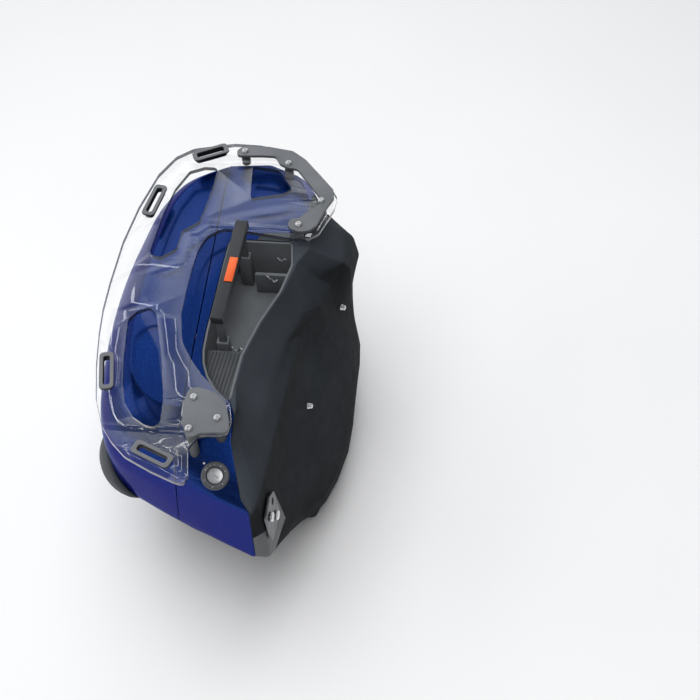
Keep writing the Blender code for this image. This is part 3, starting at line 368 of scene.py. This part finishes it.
def blue_paint():
    m, nt, b = new_mat("v_blue_paint")
    b.inputs["Metallic"].default_value = 1.0
    b.inputs["Specular Tint"].default_value = (0.10, 0.22, 0.55, 1)
    b.inputs["Coat Weight"].default_value = 0.22
    b.inputs["Coat Roughness"].default_value = 0.03
    b.inputs["Coat IOR"].default_value = 1.45
    flakes = node(nt, "ShaderNodeTexVoronoi")
    flakes.inputs["Scale"].default_value = 2600.0
    nt.links.new(coords(nt), flakes.inputs["Vector"])
    sep = node(nt, "ShaderNodeSeparateColor")
    nt.links.new(flakes.outputs["Color"], sep.inputs["Color"])
    base = ramp(nt, sep.outputs["Red"], [(0.0, (0.004, 0.020, 0.12)), (0.75, (0.007, 0.032, 0.19)), (1.0, (0.022, 0.085, 0.38))])
    nt.links.new(base, b.inputs["Base Color"])
    nt.links.new(rangeof(nt, sep.outputs["Green"], 0.0, 1.0, 0.26, 0.38), b.inputs["Roughness"])
    bump(nt, b, noise(nt, 220.0, 2.0), 0.03, 0.0002, 0.0012)
    return m


def clear_plate(name, colour, rough, least, edge_on):
    """polished acrylic: see-through face on, a mirror at a glancing angle"""
    m, nt, b = new_mat(name)
    b.inputs["Base Color"].default_value = (*colour, 1)
    b.inputs["Metallic"].default_value = 1.0
    nt.links.new(rangeof(nt, noise(nt, 18.0, 5.0), 0.45, 0.8, rough, rough + 0.03), b.inputs["Roughness"])
    lw = node(nt, "ShaderNodeLayerWeight")
    lw.inputs["Blend"].default_value = 0.5
    pw = node(nt, "ShaderNodeMath", operation="POWER")
    pw.inputs[1].default_value = 4.0
    nt.links.new(lw.outputs["Facing"], pw.inputs[0])
    nt.links.new(rangeof(nt, pw.outputs[0], 0.0, 1.0, least, edge_on), b.inputs["Alpha"])
    return m


def plate_rim_painted_shade():
    """the polished cut edge of the clear acrylic, painted a dark, nearly opaque colour as painted shade for the
    darkening its refraction gives; the bright glints come from its coat
    """
    m, nt, b = new_mat("v_plate_rim")
    nt.links.new(ramp(nt, noise(nt, 30.0, 3.0), [(0.3, (0.018, 0.024, 0.034)), (0.7, (0.040, 0.050, 0.066))]), b.inputs["Base Color"])
    b.inputs["Roughness"].default_value = 0.08
    b.inputs["Coat Weight"].default_value = 1.0
    b.inputs["Alpha"].default_value = 0.88
    return m


MATS = {
    "blue": blue_paint(),
    # the black casing gets painted light on its upward faces and painted shade on its flanks
    "casing": painted_top_light(plastic("v_black_casing", (0.024, 0.028, 0.034), (0.031, 0.036, 0.043), (0.74, 0.84), 1100.0, 0.45, 0.0015, 0.10), 0.30, 1.9),
    # painted light: the black plastic of the liner pieces is given a much paler tone than the casing, standing in for
    # light reaching into the trench
    "liner": plastic("v_black_liner_painted_light", (0.11, 0.118, 0.128), (0.15, 0.16, 0.172), (0.45, 0.60), 1300.0, 0.35, 0.0008, 0.3),
    "grip": plastic("v_dark_grip", (0.035, 0.038, 0.043), (0.055, 0.060, 0.066), (0.40, 0.55), 1300.0, 0.3, 0.0006),
    "rubber": plastic("v_rubber", (0.010, 0.010, 0.011), (0.018, 0.018, 0.019), (0.65, 0.85), 800.0, 0.5),
    "bracket": plastic("v_grey_bracket", (0.105, 0.112, 0.122), (0.150, 0.158, 0.170), (0.36, 0.50), 1500.0, 0.2, 0.0008),
    "bar": plastic("v_grey_bar", (0.018, 0.020, 0.024), (0.026, 0.029, 0.033), (0.34, 0.46), 1200.0, 0.2, 0.0008),
    "orange": plastic("v_orange_tab", (0.66, 0.085, 0.012), (0.85, 0.15, 0.03), (0.35, 0.5), 900.0, 0.2, 0.0003),
    "ring": plastic("v_dark_ring", (0.060, 0.064, 0.070), (0.095, 0.10, 0.108), (0.22, 0.34), 900.0, 0.1, 0.0004),
    "bumper": plastic("v_dark_bumper", (0.055, 0.058, 0.064), (0.085, 0.09, 0.098), (0.42, 0.58), 900.0, 0.4, 0.001),
    "guard": plastic("v_grey_guard", (0.075, 0.078, 0.086), (0.10, 0.104, 0.112), (0.42, 0.56), 1100.0, 0.35, 0.0012),
    "dot": plastic("v_white_dot", (0.75, 0.75, 0.75), (0.88, 0.88, 0.88), (0.3, 0.5), 900.0, 0.1),
    "steel": metal("v_steel", (0.72, 0.73, 0.75), (0.88, 0.89, 0.90), (0.28, 0.45)),
    "zinc": metal("v_zinc", (0.16, 0.165, 0.175), (0.26, 0.265, 0.275), (0.38, 0.55)),
    "clear": clear_plate("v_clear_plate", (0.90, 0.93, 0.96), 0.02, 0.065, 0.95),
    # rim: painted shade on the clear plate's edge walls
    "rim": plate_rim_painted_shade(),
}

# ---------------------------------------------------------------- mesh helpers
scene_col = bpy.context.scene.collection
scratch = []


def obj(name, me, keep=True):
    o = bpy.data.objects.new(name, me)
    scene_col.objects.link(o)
    if not keep:
        scratch.append(o)
    return o


def loft(name, rings, keep=True, caps=True):
    bm = bmesh.new()
    vs = [[bm.verts.new(W(p)) for p in ring] for ring in rings]
    n = len(rings[0])
    for a, b in zip(vs[:-1], vs[1:]):
        for i in range(n):
            j = (i + 1) % n
            bm.faces.new((a[i], a[j], b[j], b[i]))
    if caps:
        bm.faces.new(list(reversed(vs[0])))
        bm.faces.new(vs[-1])
    bmesh.ops.recalc_face_normals(bm, faces=bm.faces)
    quads = [f for f in bm.faces if len(f.verts) == 4]
    bmesh.ops.triangulate(bm, faces=quads, quad_method="FIXED")
    me = bpy.data.meshes.new(name)
    bm.to_mesh(me)
    bm.free()
    return obj(name, me, keep)


def prism(name, pts, z0, z1, keep=True, holes=()):
    cu = bpy.data.curves.new(name, "CURVE")
    cu.dimensions = "2D"
    cu.fill_mode = "BOTH"
    cu.extrude = (z1 - z0) * 0.5 * MM
    for loop in [pts] + list(holes):
        sp = cu.splines.new("POLY")
        sp.points.add(len(loop) - 1)
        for k, p in enumerate(loop):
            sp.points[k].co = ((p[0] + OX) * MM, (p[1] + OY) * MM, 0, 1)
        sp.use_cyclic_u = True
    tmp = bpy.data.objects.new(name + "_c", cu)
    tmp.location = (0, 0, ((z0 + z1) * 0.5 + OZ) * MM)
    scene_col.objects.link(tmp)
    bpy.context.view_layer.update()
    me = bpy.data.meshes.new_from_object(tmp.evaluated_get(bpy.context.evaluated_depsgraph_get()))
    me.transform(tmp.matrix_world)
    bpy.data.objects.remove(tmp, do_unlink=True)
    clean(me, 0.00002)
    return obj(name, me, keep)


def clean(me, dist=0.00002):
    bm = bmesh.new()
    bm.from_mesh(me)
    bmesh.ops.remove_doubles(bm, verts=bm.verts, dist=dist)
    bmesh.ops.dissolve_degenerate(bm, dist=0.00001, edges=bm.edges)
    bmesh.ops.recalc_face_normals(bm, faces=bm.faces)
    bm.to_mesh(me)
    bm.free()


def prism_y(name, pts, y0, y1, keep=True):
    return loft(name, [[(x, y0, z) for x, z in pts], [(x, y1, z) for x, z in pts]], keep)


def apply_mods(o):
    me = bpy.data.meshes.new_from_object(o.evaluated_get(bpy.context.evaluated_depsgraph_get()))
    o.modifiers.clear()
    o.data = me
    return o


def boolean(o, other, op="DIFFERENCE"):
    m = o.modifiers.new("b", "BOOLEAN")
    m.operation = op
    m.solver = "EXACT"
    m.object = other
    return apply_mods(o)


def bevel(o, width, segments=2, angle=30.0):
    m = o.modifiers.new("v", "BEVEL")
    m.width = width * MM
    m.segments = segments
    m.limit_method = "ANGLE"
    m.angle_limit = math.radians(angle)
    m.use_clamp_overlap = True
    return apply_mods(o)


def smooth(o, angle=32.0, flat_z=False):
    me = o.data
    for p in me.polygons:
        p.use_smooth = not (flat_z and abs(p.normal.z) > 0.985)
    me.set_sharp_from_angle(angle=math.radians(angle))
    return o


def wear(o, kind):
    o.data.materials.clear()
    o.data.materials.append(MATS[kind])


def walls(o, kind, limit=0.5):
    """a second material on the upright walls of a flat piece"""
    o.data.materials.append(MATS[kind])
    for p in o.data.polygons:
        if abs(p.normal.z) < limit:
            p.material_index = 1


def piece(o, kind, body, *stands_for):
    wear(o, kind)
    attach(o, body)
    if stands_for:
        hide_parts(*stands_for)
    return o


def axis_rot(axis):
    return Vector((0, 0, 1)).rotation_difference(Vector(axis).normalized()).to_matrix()


def lathe(name, profile, c, axis=(0, 0, 1), steps=48, keep=True):
    """profile of (r, z) from the top of the axis outwards and down"""
    rot = axis_rot(axis)
    bm = bmesh.new()
    closed = profile[0] == profile[-1]
    prof = profile[:-1] if closed else profile
    rings = []
    for r, z in prof:
        if r < 1e-6:
            rings.append([bm.verts.new(W(Vector(c) + rot @ Vector((0, 0, z))))])
        else:
            rings.append([bm.verts.new(W(Vector(c) + rot @ Vector((r * math.cos(2 * math.pi * k / steps), r * math.sin(2 * math.pi * k / steps), z))))
                          for k in range(steps)])
    pairs = list(zip(rings[:-1], rings[1:])) + ([(rings[-1], rings[0])] if closed else [])
    for a, b in pairs:
        for k in range(steps):
            j = (k + 1) % steps
            if len(a) == 1 and len(b) == 1:
                continue
            if len(a) == 1:
                bm.faces.new((a[0], b[k], b[j]))
            elif len(b) == 1:
                bm.faces.new((a[k], b[0], a[j]))
            else:
                bm.faces.new((a[k], b[k], b[j], a[j]))
    bmesh.ops.recalc_face_normals(bm, faces=bm.faces)
    me = bpy.data.meshes.new(name)
    bm.to_mesh(me)
    bm.free()
    return obj(name, me, keep)


def boxm(name, c, size, rot=None, keep=True):
    bm = bmesh.new()
    bmesh.ops.create_cube(bm, size=1.0)
    bmesh.ops.scale(bm, vec=[s * MM for s in size], verts=bm.verts)
    if rot is not None:
        bmesh.ops.transform(bm, matrix=rot.to_4x4(), verts=bm.verts)
    bmesh.ops.translate(bm, vec=W(c), verts=bm.verts)
    me = bpy.data.meshes.new(name)
    bm.to_mesh(me)
    bm.free()
    return obj(name, me, keep)


# ---------------------------------------------------------------- dense case outline
def fillets(pts, radii, seg):
    """like rounded(), but every corner with a radius gives the same number of points"""
    n = len(pts)
    out = []
    for i in range(n):
        p = np.array(pts[i], float)
        r = radii[i]
        if r <= 0:
            out.append(tuple(p))
            continue
        a = np.array(pts[i - 1], float) - p
        b = np.array(pts[(i + 1) % n], float) - p
        la, lb = np.linalg.norm(a), np.linalg.norm(b)
        ua, ub = a / la, b / lb
        ang = math.acos(float(np.clip(np.dot(ua, ub), -1, 1)))
        d = min(max(r / max(math.tan(ang / 2), 1e-3), 0.4), la * 0.45, lb * 0.45)
        s, e = p + ua * d, p + ub * d
        for k in range(seg + 1):
            t = k / seg
            out.append(tuple((1 - t) ** 2 * s + 2 * t * (1 - t) * p + t * t * e))
    return out


def soft_interp(z, table, smooth_z, w=3.5):
    acc = 0
    for s in (-1.0, -0.6, -0.2, 0.2, 0.6, 1.0):
        acc = acc + interp(z + s * w, table, smooth_z)
    return acc / 6.0


R_FRONT = [3.0, 10.0]
R_REAR = [14.0, 14.0]
R_CASE = [9.0, 9.0, 7.0, 8.0, 14.0, 14.0, 14.0, 14.0, 8.0, 8.0]


def outline(z, inset=0.0):
    f = soft_interp(z, FRONT, False)
    s = interp(z, SIDE, True)
    r = soft_interp(z, REAR, False)
    c = soft_interp(z, CASING, False)
    side = smooth_loop([tuple(p) for p in s], SEG_SIDE, closed=False)
    pts = [tuple(p) for p in f] + side + [tuple(p) for p in r] + [tuple(p) for p in c]
    rad = R_FRONT + [0.0] * len(side) + R_REAR + R_CASE
    o = fillets(pts, rad, SEG_C)
    if inset:
        o = offset_loop(o, inset)
    return o


def levels():
    step = 5.0
    zs = list(np.arange(-288.0, 66.0, step)) + [34 + d for d in (-3, 0, 3)] + [10 + d for d in (-3.5, -1.5, 0, 1.5, 3.5)] + [-30 + d for d in (-3, 0, 3)]
    zs = sorted(set(round(float(z), 2) for z in zs if -287.9 < z < 66.0))
    out = [zs[0]]
    for z in zs[1:]:
        if z - out[-1] > 0.9:
            out.append(z)
    return out


def case_rings():
    rings = []
    for t in (0.0, 0.5, 1.0):
        a = t * math.pi / 2
        z = -290 + 2.0 * (1 - math.cos(a))
        rings.append([(x, y, z) for x, y in outline(z, 2.0 * (1 - math.sin(a)))])
    for z in levels():
        rings.append([(x, y, z) for x, y in outline(z)])
    r = 2.0
    for t in (0.0, 0.25, 0.5, 0.75, 1.0):
        a = t * math.pi / 2
        z = Z_TOP - r + r * math.sin(a)
        rings.append([(x, y, z) for x, y in outline(z, r * (1 - math.cos(a)))])
    return rings


def outline_coarse(z):
    f = interp(z, FRONT, False)
    s = interp(z, SIDE, True)
    r = interp(z, REAR, False)
    c = interp(z, CASING, False)
    side = smooth_loop([tuple(p) for p in s], 2, closed=False)
    return [tuple(p) for p in f] + side + [tuple(p) for p in r] + [tuple(p) for p in c]


def void_rings(inset):
    rings = []
    for z in (-290, -276, -262, -236, -210, -180, -150, -120, -90, -60, -30, -10, 10, 22, 34, 46, 56, 66, 72):
        zz = min(max(z, Z_BASE + inset), Z_TOP - inset)
        if rings and zz <= rings[-1][0][2] + 1e-6:
            continue
        rings.append([(x, y, zz) for x, y in offset_loop(outline_coarse(zz), inset * 1.15)])
    return rings


def half(name, side, d):
    pts = [(seam_x(250) + side * d, 250), (seam_x(SEAM_BEND) + side * d, SEAM_BEND),
           (HINGE_X + side * d, HINGE_Z - (d if side > 0 else -d) * 0.5)]
    if side < 0:
        pts += [(-420, HINGE_Z + d), (-420, 250)]
    else:
        pts[-1] = (HINGE_X + d, HINGE_Z - d)
        pts += [(-420, HINGE_Z - d), (-420, -420), (420, -420), (420, 250)]
    return prism_y(name, pts, -420, 420, False)


outer = loft("s_outer", case_rings(), False)
void = loft("s_void", void_rings(WALL), False)
not_lid = half("s_not_lid", +1, -0.55)
not_body = half("s_not_body", -1, -0.55)
zone_pts = rounded(PAINT_ZONE, 9.0, 4)
zone = prism("s_zone", zone_pts, -97, 200, False)
not_zone = boxm("s_not_zone", (0, 0, -100), (1000, 1000, 700), None, False)
boolean(not_zone, zone)
zone_out = prism("s_zone_out", offset_loop(zone_pts, -GAP), -97 - GAP, 200, False)
GUARD_C, GUARD_S = (85.6, -243.0, -78.0), (108.8, 114.0, 68.0)
not_guard = boxm("s_not_guard", (0, 0, -100), (1000, 1000, 700), None, False)
boolean(not_guard, boxm("s_guard", GUARD_C, GUARD_S, None, False))
guard_out = boxm("s_guard_out", GUARD_C, [g + 0.8 for g in GUARD_S], None, False)
trench_pts = rounded(TRENCH, 7.0, 4)
trench_hole = prism("s_trench", offset_loop(trench_pts, -3.2), -6, 200, False)
n_lock = Vector((0, -math.sin(LOCK_SLOPE), math.cos(LOCK_SLOPE)))
lock_hole = lathe("s_lock", [(0, 30), (13.3, 30), (13.3, -40), (0, -40)], LOCK_C, n_lock, 48, False)
notch = boxm("s_notch", (HINGE_X - 1.5, (HINGE_Y0 + HINGE_Y1) / 2, HINGE_Z), (27, HINGE_Y1 - HINGE_Y0 + 10, 18), None, False)


def copy_of(name, src):
    return obj(name, src.data.copy())


lid = copy_of("v_lid_shell", outer)
boolean(lid, not_lid)
boolean(lid, void)
boolean(lid, notch)
body = copy_of("v_body_shell", outer)
boolean(body, not_body)
boolean(body, not_zone)
boolean(body, void)
boolean(body, trench_hole)
boolean(body, lock_hole)
casing = copy_of("v_inner_casing", outer)
boolean(casing, not_body)
boolean(casing, void)
boolean(casing, zone_out)
boolean(casing, trench_hole)
boolean(casing, lock_hole)
boolean(casing, notch)
guard = copy_of("v_lower_corner_guard", outer)
boolean(guard, not_guard)
boolean(guard, void)
boolean(casing, guard_out)
smooth(guard, 28)
piece(guard, "guard", "case", "lower_corner_guard")
for o, k, b, n in ((lid, "blue", "lid", "lid_shell"), (body, "blue", "case", "body_shell"), (casing, "casing", "case", "inner_casing")):
    smooth(o, 28)
    piece(o, k, b, n)

# ---------------------------------------------------------------- clear rack plate
plate = prism("v_rack_plate", rounded([(float(a), float(b)) for a, b in PLATE], [r * 1.15 for r in PLATE_R], 6), PLATE_Z0, PLATE_Z1,
              holes=[rounded(WIN_A, 5, 6), rounded(WIN_B, 7, 6), rounded(WIN_C, 7, 6)])


def slot_outline(c, size, deg, grow=0.0, seg=8):
    w, h = size[0] / 2 + grow, size[1] / 2 + grow
    a = math.radians(deg)
    pts = rounded([(-w, -h), (w, -h), (w, h), (-w, h)], min(h, 6.0), seg)
    return [(c[0] + x * math.cos(a) - y * math.sin(a), c[1] + x * math.sin(a) + y * math.cos(a)) for x, y in pts]


for k, (c, size, deg) in enumerate(SLOTS):
    boolean(plate, prism("s_slot", slot_outline(c, size, deg, -2.5), 0, 200, False))
    lin = prism("v_slot_liner_%d" % (k + 1), slot_outline(c, size, deg, -2.8), PLATE_Z0 + 0.2, PLATE_Z1 + 0.4)
    boolean(lin, prism("s_lip", slot_outline(c, size, deg), PLATE_Z1 + 0.3, PLATE_Z1 + 2.6, False), "UNION")
    boolean(lin, prism("s_core", slot_outline(c, (size[0] - 11.0, size[1] - 9.0), deg), 0, 200, False))
    bevel(lin, 0.7, 2, 50)
    smooth(lin, 40, True)
    piece(lin, "bracket", "case", "slot_liner_%d" % (k + 1))
    walls(lin, "rubber")
for x, y in UP_S + LO_S:
    boolean(plate, lathe("s_h", [(0, 20), (2.8, 20), (2.8, -20), (0, -20)], (x, y, PLATE_Z1), (0, 0, 1), 24, False))
bevel(plate, 0.7, 2, 50)
smooth(plate, 30, True)
piece(plate, "clear", "case", "rack_plate")
# the plate's upright edge walls wear the rim material, painted dark as painted shade
walls(plate, "rim", 0.95)

# ---------------------------------------------------------------- brackets
upper = prism("v_upper_bracket", rounded([(float(a), float(b)) for a, b in UPPER], 8, 6), PLATE_Z1 + GAP, PLATE_Z1 + GAP + BRACKET_T)
lower = prism("v_lower_bracket", rounded([(float(a), float(b)) for a, b in LOWER], 8, 6), PLATE_Z1 + GAP, PLATE_Z1 + GAP + BRACKET_T)
for o, n in ((upper, "upper_bracket"), (lower, "lower_bracket")):
    bevel(o, 1.3, 3, 50)
    smooth(o, 40, True)
    piece(o, "bracket", "case", n)
head_z = PLATE_Z1 + 2 * GAP + BRACKET_T
for k, (x, y) in enumerate(UP_S + LO_S):
    h = SCREW_HEAD_H
    prof = [(0, h - 1.2), (1.45, h - 1.2), (1.5, h - 0.1), (1.9, h), (2.6, h - 0.14), (3.5, h * 0.80), (4.2, h * 0.52), (SCREW_HEAD_R, 0.5),
            (SCREW_HEAD_R, 0.0), (SCREW_R, 0.0), (SCREW_R, -16.0), (0, -16.0)]
    sc = lathe("v_bracket_screw_%d" % (k + 1), prof, (x, y, head_z), (0, 0, 1), 36)
    smooth(sc, 40)
    piece(sc, "steel", "case", "bracket_screw_%d" % (k + 1))

# ---------------------------------------------------------------- lock
ring = lathe("v_lock_ring", [(10.2, 2.6), (11.0, 3.3), (12.0, 3.5), (14.2, 3.5), (15.6, 3.1), (16.5, 2.2), (LOCK_R, 1.2), (LOCK_R, GAP), (13.0, GAP), (13.0, -26.0), (10.2, -26.0), (10.2, 2.6)],
             LOCK_C, n_lock, 64)
smooth(ring, 40)
piece(ring, "ring", "case", "lock_ring")
cyl = lathe("v_lock_cylinder", [(0, 2.2), (8.8, 2.2), (9.5, 1.9), (LOCK_CYL_R, 1.4), (LOCK_CYL_R, -30.0), (0, -30.0)], LOCK_C, n_lock, 48)
lrot = axis_rot(n_lock)
key = boxm("s_key", Vector(LOCK_C) + n_lock * 1.0, (8.5, 1.5, 6.0), lrot @ Matrix.Rotation(math.radians(-32), 3, "Z"), False)
boolean(cyl, key)
smooth(cyl, 40)
piece(cyl, "steel", "lock", "lock_cylinder")
ticks = bmesh.new()
for deg in (28, 62, 96, 118, 140, 152, 205, 262, 318):
    a = math.radians(deg)
    long_ = 2.0 if deg in (62, 152) else 1.2
    t_ = bmesh.new()
    bmesh.ops.create_cube(t_, size=1.0)
    bmesh.ops.scale(t_, vec=(long_ * MM, 0.55 * MM, 0.25 * MM), verts=t_.verts)
    bmesh.ops.translate(t_, vec=(13.1 * MM, 0, 3.6 * MM), verts=t_.verts)
    bmesh.ops.transform(t_, matrix=(lrot @ Matrix.Rotation(a, 3, "Z")).to_4x4(), verts=t_.verts)
    bmesh.ops.translate(t_, vec=W(LOCK_C), verts=t_.verts)
    m_ = bpy.data.meshes.new("t")
    t_.to_mesh(m_)
    t_.free()
    ticks.from_mesh(m_)
    bpy.data.meshes.remove(m_)
me = bpy.data.meshes.new("v_lock_ticks")
ticks.to_mesh(me)
ticks.free()
piece(obj("v_lock_ticks", me), "dot", "case")

# ---------------------------------------------------------------- the other CAD nodes: welded, softened copies
KINDS = {
    "handle_recess": ("liner", 0.6), "grip_floor": ("grip", 0.5), "trench_rib": ("liner", 0.0), "handle_socket_front": ("liner", 0.0),
    "handle_socket_rear": ("liner", 0.0), "clip_rear": ("steel", 0.0), "clip_front": ("steel", 0.0), "clip_latch": ("steel", 0.0),
    "lock_dot": ("dot", 0.0), "latch_guide": ("liner", 0.4), "hinge_leaf_body": ("liner", 0.3), "hinge_pin": ("steel", 0.0),
    "mount_bracket": ("zinc", 0.5), "mount_bolt_1": ("steel", 0.0), "mount_bolt_2": ("steel", 0.0), "locating_stud_1": ("steel", 0.0),
    "locating_stud_2": ("steel", 0.0), "lid_seal": ("rubber", 0.0), "latch_keeper": ("liner", 0.4), "hinge_leaf_lid": ("liner", 0.3),
    "corner_bumper": ("bumper", 0.0), "handle_bar": ("bar", 0.0), "handle_leg_front": ("liner", 0.0), "handle_leg_rear": ("liner", 0.0),
    "handle_tab": ("orange", 0.0), "lock_cam": ("zinc", 0.0), "latch_bolt": ("zinc", 0.0),
}
for k in range(4):
    KINDS["foot_%d" % (k + 1)] = ("rubber", 0.0)
for k in range(7):
    KINDS["spacer_%d" % (k + 1)] = ("liner", 0.0)
for name, (kind, bev) in KINDS.items():
    src = nodes[name]
    me = src.data.copy()
    clean(me, 0.00001)
    o = obj("v_" + name, me)
    if bev:
        bevel(o, bev, 2, 45)
    smooth(o, 38)
    piece(o, kind, src["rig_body"], name)

for o in scratch:
    bpy.data.objects.remove(o, do_unlink=True)

# ---------------------------------------------------------------- floor, light, camera
me = bpy.data.meshes.new("floor")
me.from_pydata([(-12, -12, 0), (12, -12, 0), (12, 12, 0), (-12, 12, 0)], [], [(0, 1, 2, 3)])
floor = obj("floor", me)
m, nt, b = new_mat("v_floor")
nt.links.new(ramp(nt, noise(nt, 1.5, 3.0), [(0.3, (0.90, 0.90, 0.91)), (0.7, (0.93, 0.93, 0.935))]), b.inputs["Base Color"])
b.inputs["Roughness"].default_value = 0.8
b.inputs["Specular IOR Level"].default_value = 0.1
floor.data.materials.append(m)

world = bpy.data.worlds.new("studio")
bpy.context.scene.world = world
world.use_nodes = True
nt = world.node_tree
bg = nt.nodes["Background"]
tc = node(nt, "ShaderNodeTexCoord")
sp = node(nt, "ShaderNodeSeparateXYZ")
nt.links.new(tc.outputs["Generated"], sp.inputs[0])
side = rangeof(nt, sp.outputs["Y"], -0.6, 0.5, 0.20, 0.80)
band = ramp(nt, sp.outputs["Z"], [(0.0, 0.42), (0.60, 0.45), (0.66, 1.0), (0.725, 0.9), (0.775, 0.15), (1.0, 0.15)])
high = rangeof(nt, band, 0.0, 1.0, 0.0, 2.4)
right = rangeof(nt, sp.outputs["X"], 0.0, 0.7, 1.0, 0.25)
mu = node(nt, "ShaderNodeMath", operation="MULTIPLY")
nt.links.new(side, mu.inputs[0])
nt.links.new(high, mu.inputs[1])
mv = node(nt, "ShaderNodeMath", operation="MULTIPLY")
nt.links.new(mu.outputs[0], mv.inputs[0])
nt.links.new(right, mv.inputs[1])
nt.links.new(mv.outputs[0], bg.inputs["Strength"])
bg.inputs["Color"].default_value = (0.97, 0.985, 1.0, 1.0)


def area(name, loc, target, sx, sy, power):
    li = bpy.data.lights.new(name, "AREA")
    li.shape = "RECTANGLE"
    li.size, li.size_y = sx, sy
    li.energy = power
    o = bpy.data.objects.new(name, li)
    scene_col.objects.link(o)
    o.location = loc
    d = Vector(target) - Vector(loc)
    o.rotation_euler = d.to_track_quat("-Z", "Y").to_euler()
    return o


area("top_soft", (-0.3, 0.0, 3.2), (0, 0, 0.2), 2.6, 2.6, 76.0).visible_glossy = False
area("front_soft", (0.35, -1.45, 2.5), (0, 0, 0.3), 0.8, 0.8, 6.0)
area("tube_1", (-0.75, 1.05, 2.7), (-0.1, 0, 0.3), 0.06, 1.5, 1.6)
area("tube_2", (0.35, 1.25, 2.7), (0.0, 0, 0.3), 0.06, 1.5, 1.6)
area("left_soft", (-2.6, -0.4, 1.6), (0, 0, 0.2), 1.4, 1.4, 6.0)

cam_data = bpy.data.cameras.new("camera")
cam_data.sensor_width = 36.0
cam_data.lens = 57.695
cam_data.clip_end = 50
cam = bpy.data.objects.new("camera", cam_data)
scene_col.objects.link(cam)
ax = Vector((0.99638371, 0.08273300, -0.01935840))
az = Vector((0.06345913, -0.57308655, 0.81703412))
ay = az.cross(ax)
cam.matrix_world = Matrix.Translation(W((218.434, -822.358, 1173.150))) @ Matrix((ax, ay, az)).transposed().to_4x4()
bpy.context.scene.camera = cam
bpy.context.scene.view_settings.view_transform = "Standard"
bpy.context.scene.view_settings.look = "None"

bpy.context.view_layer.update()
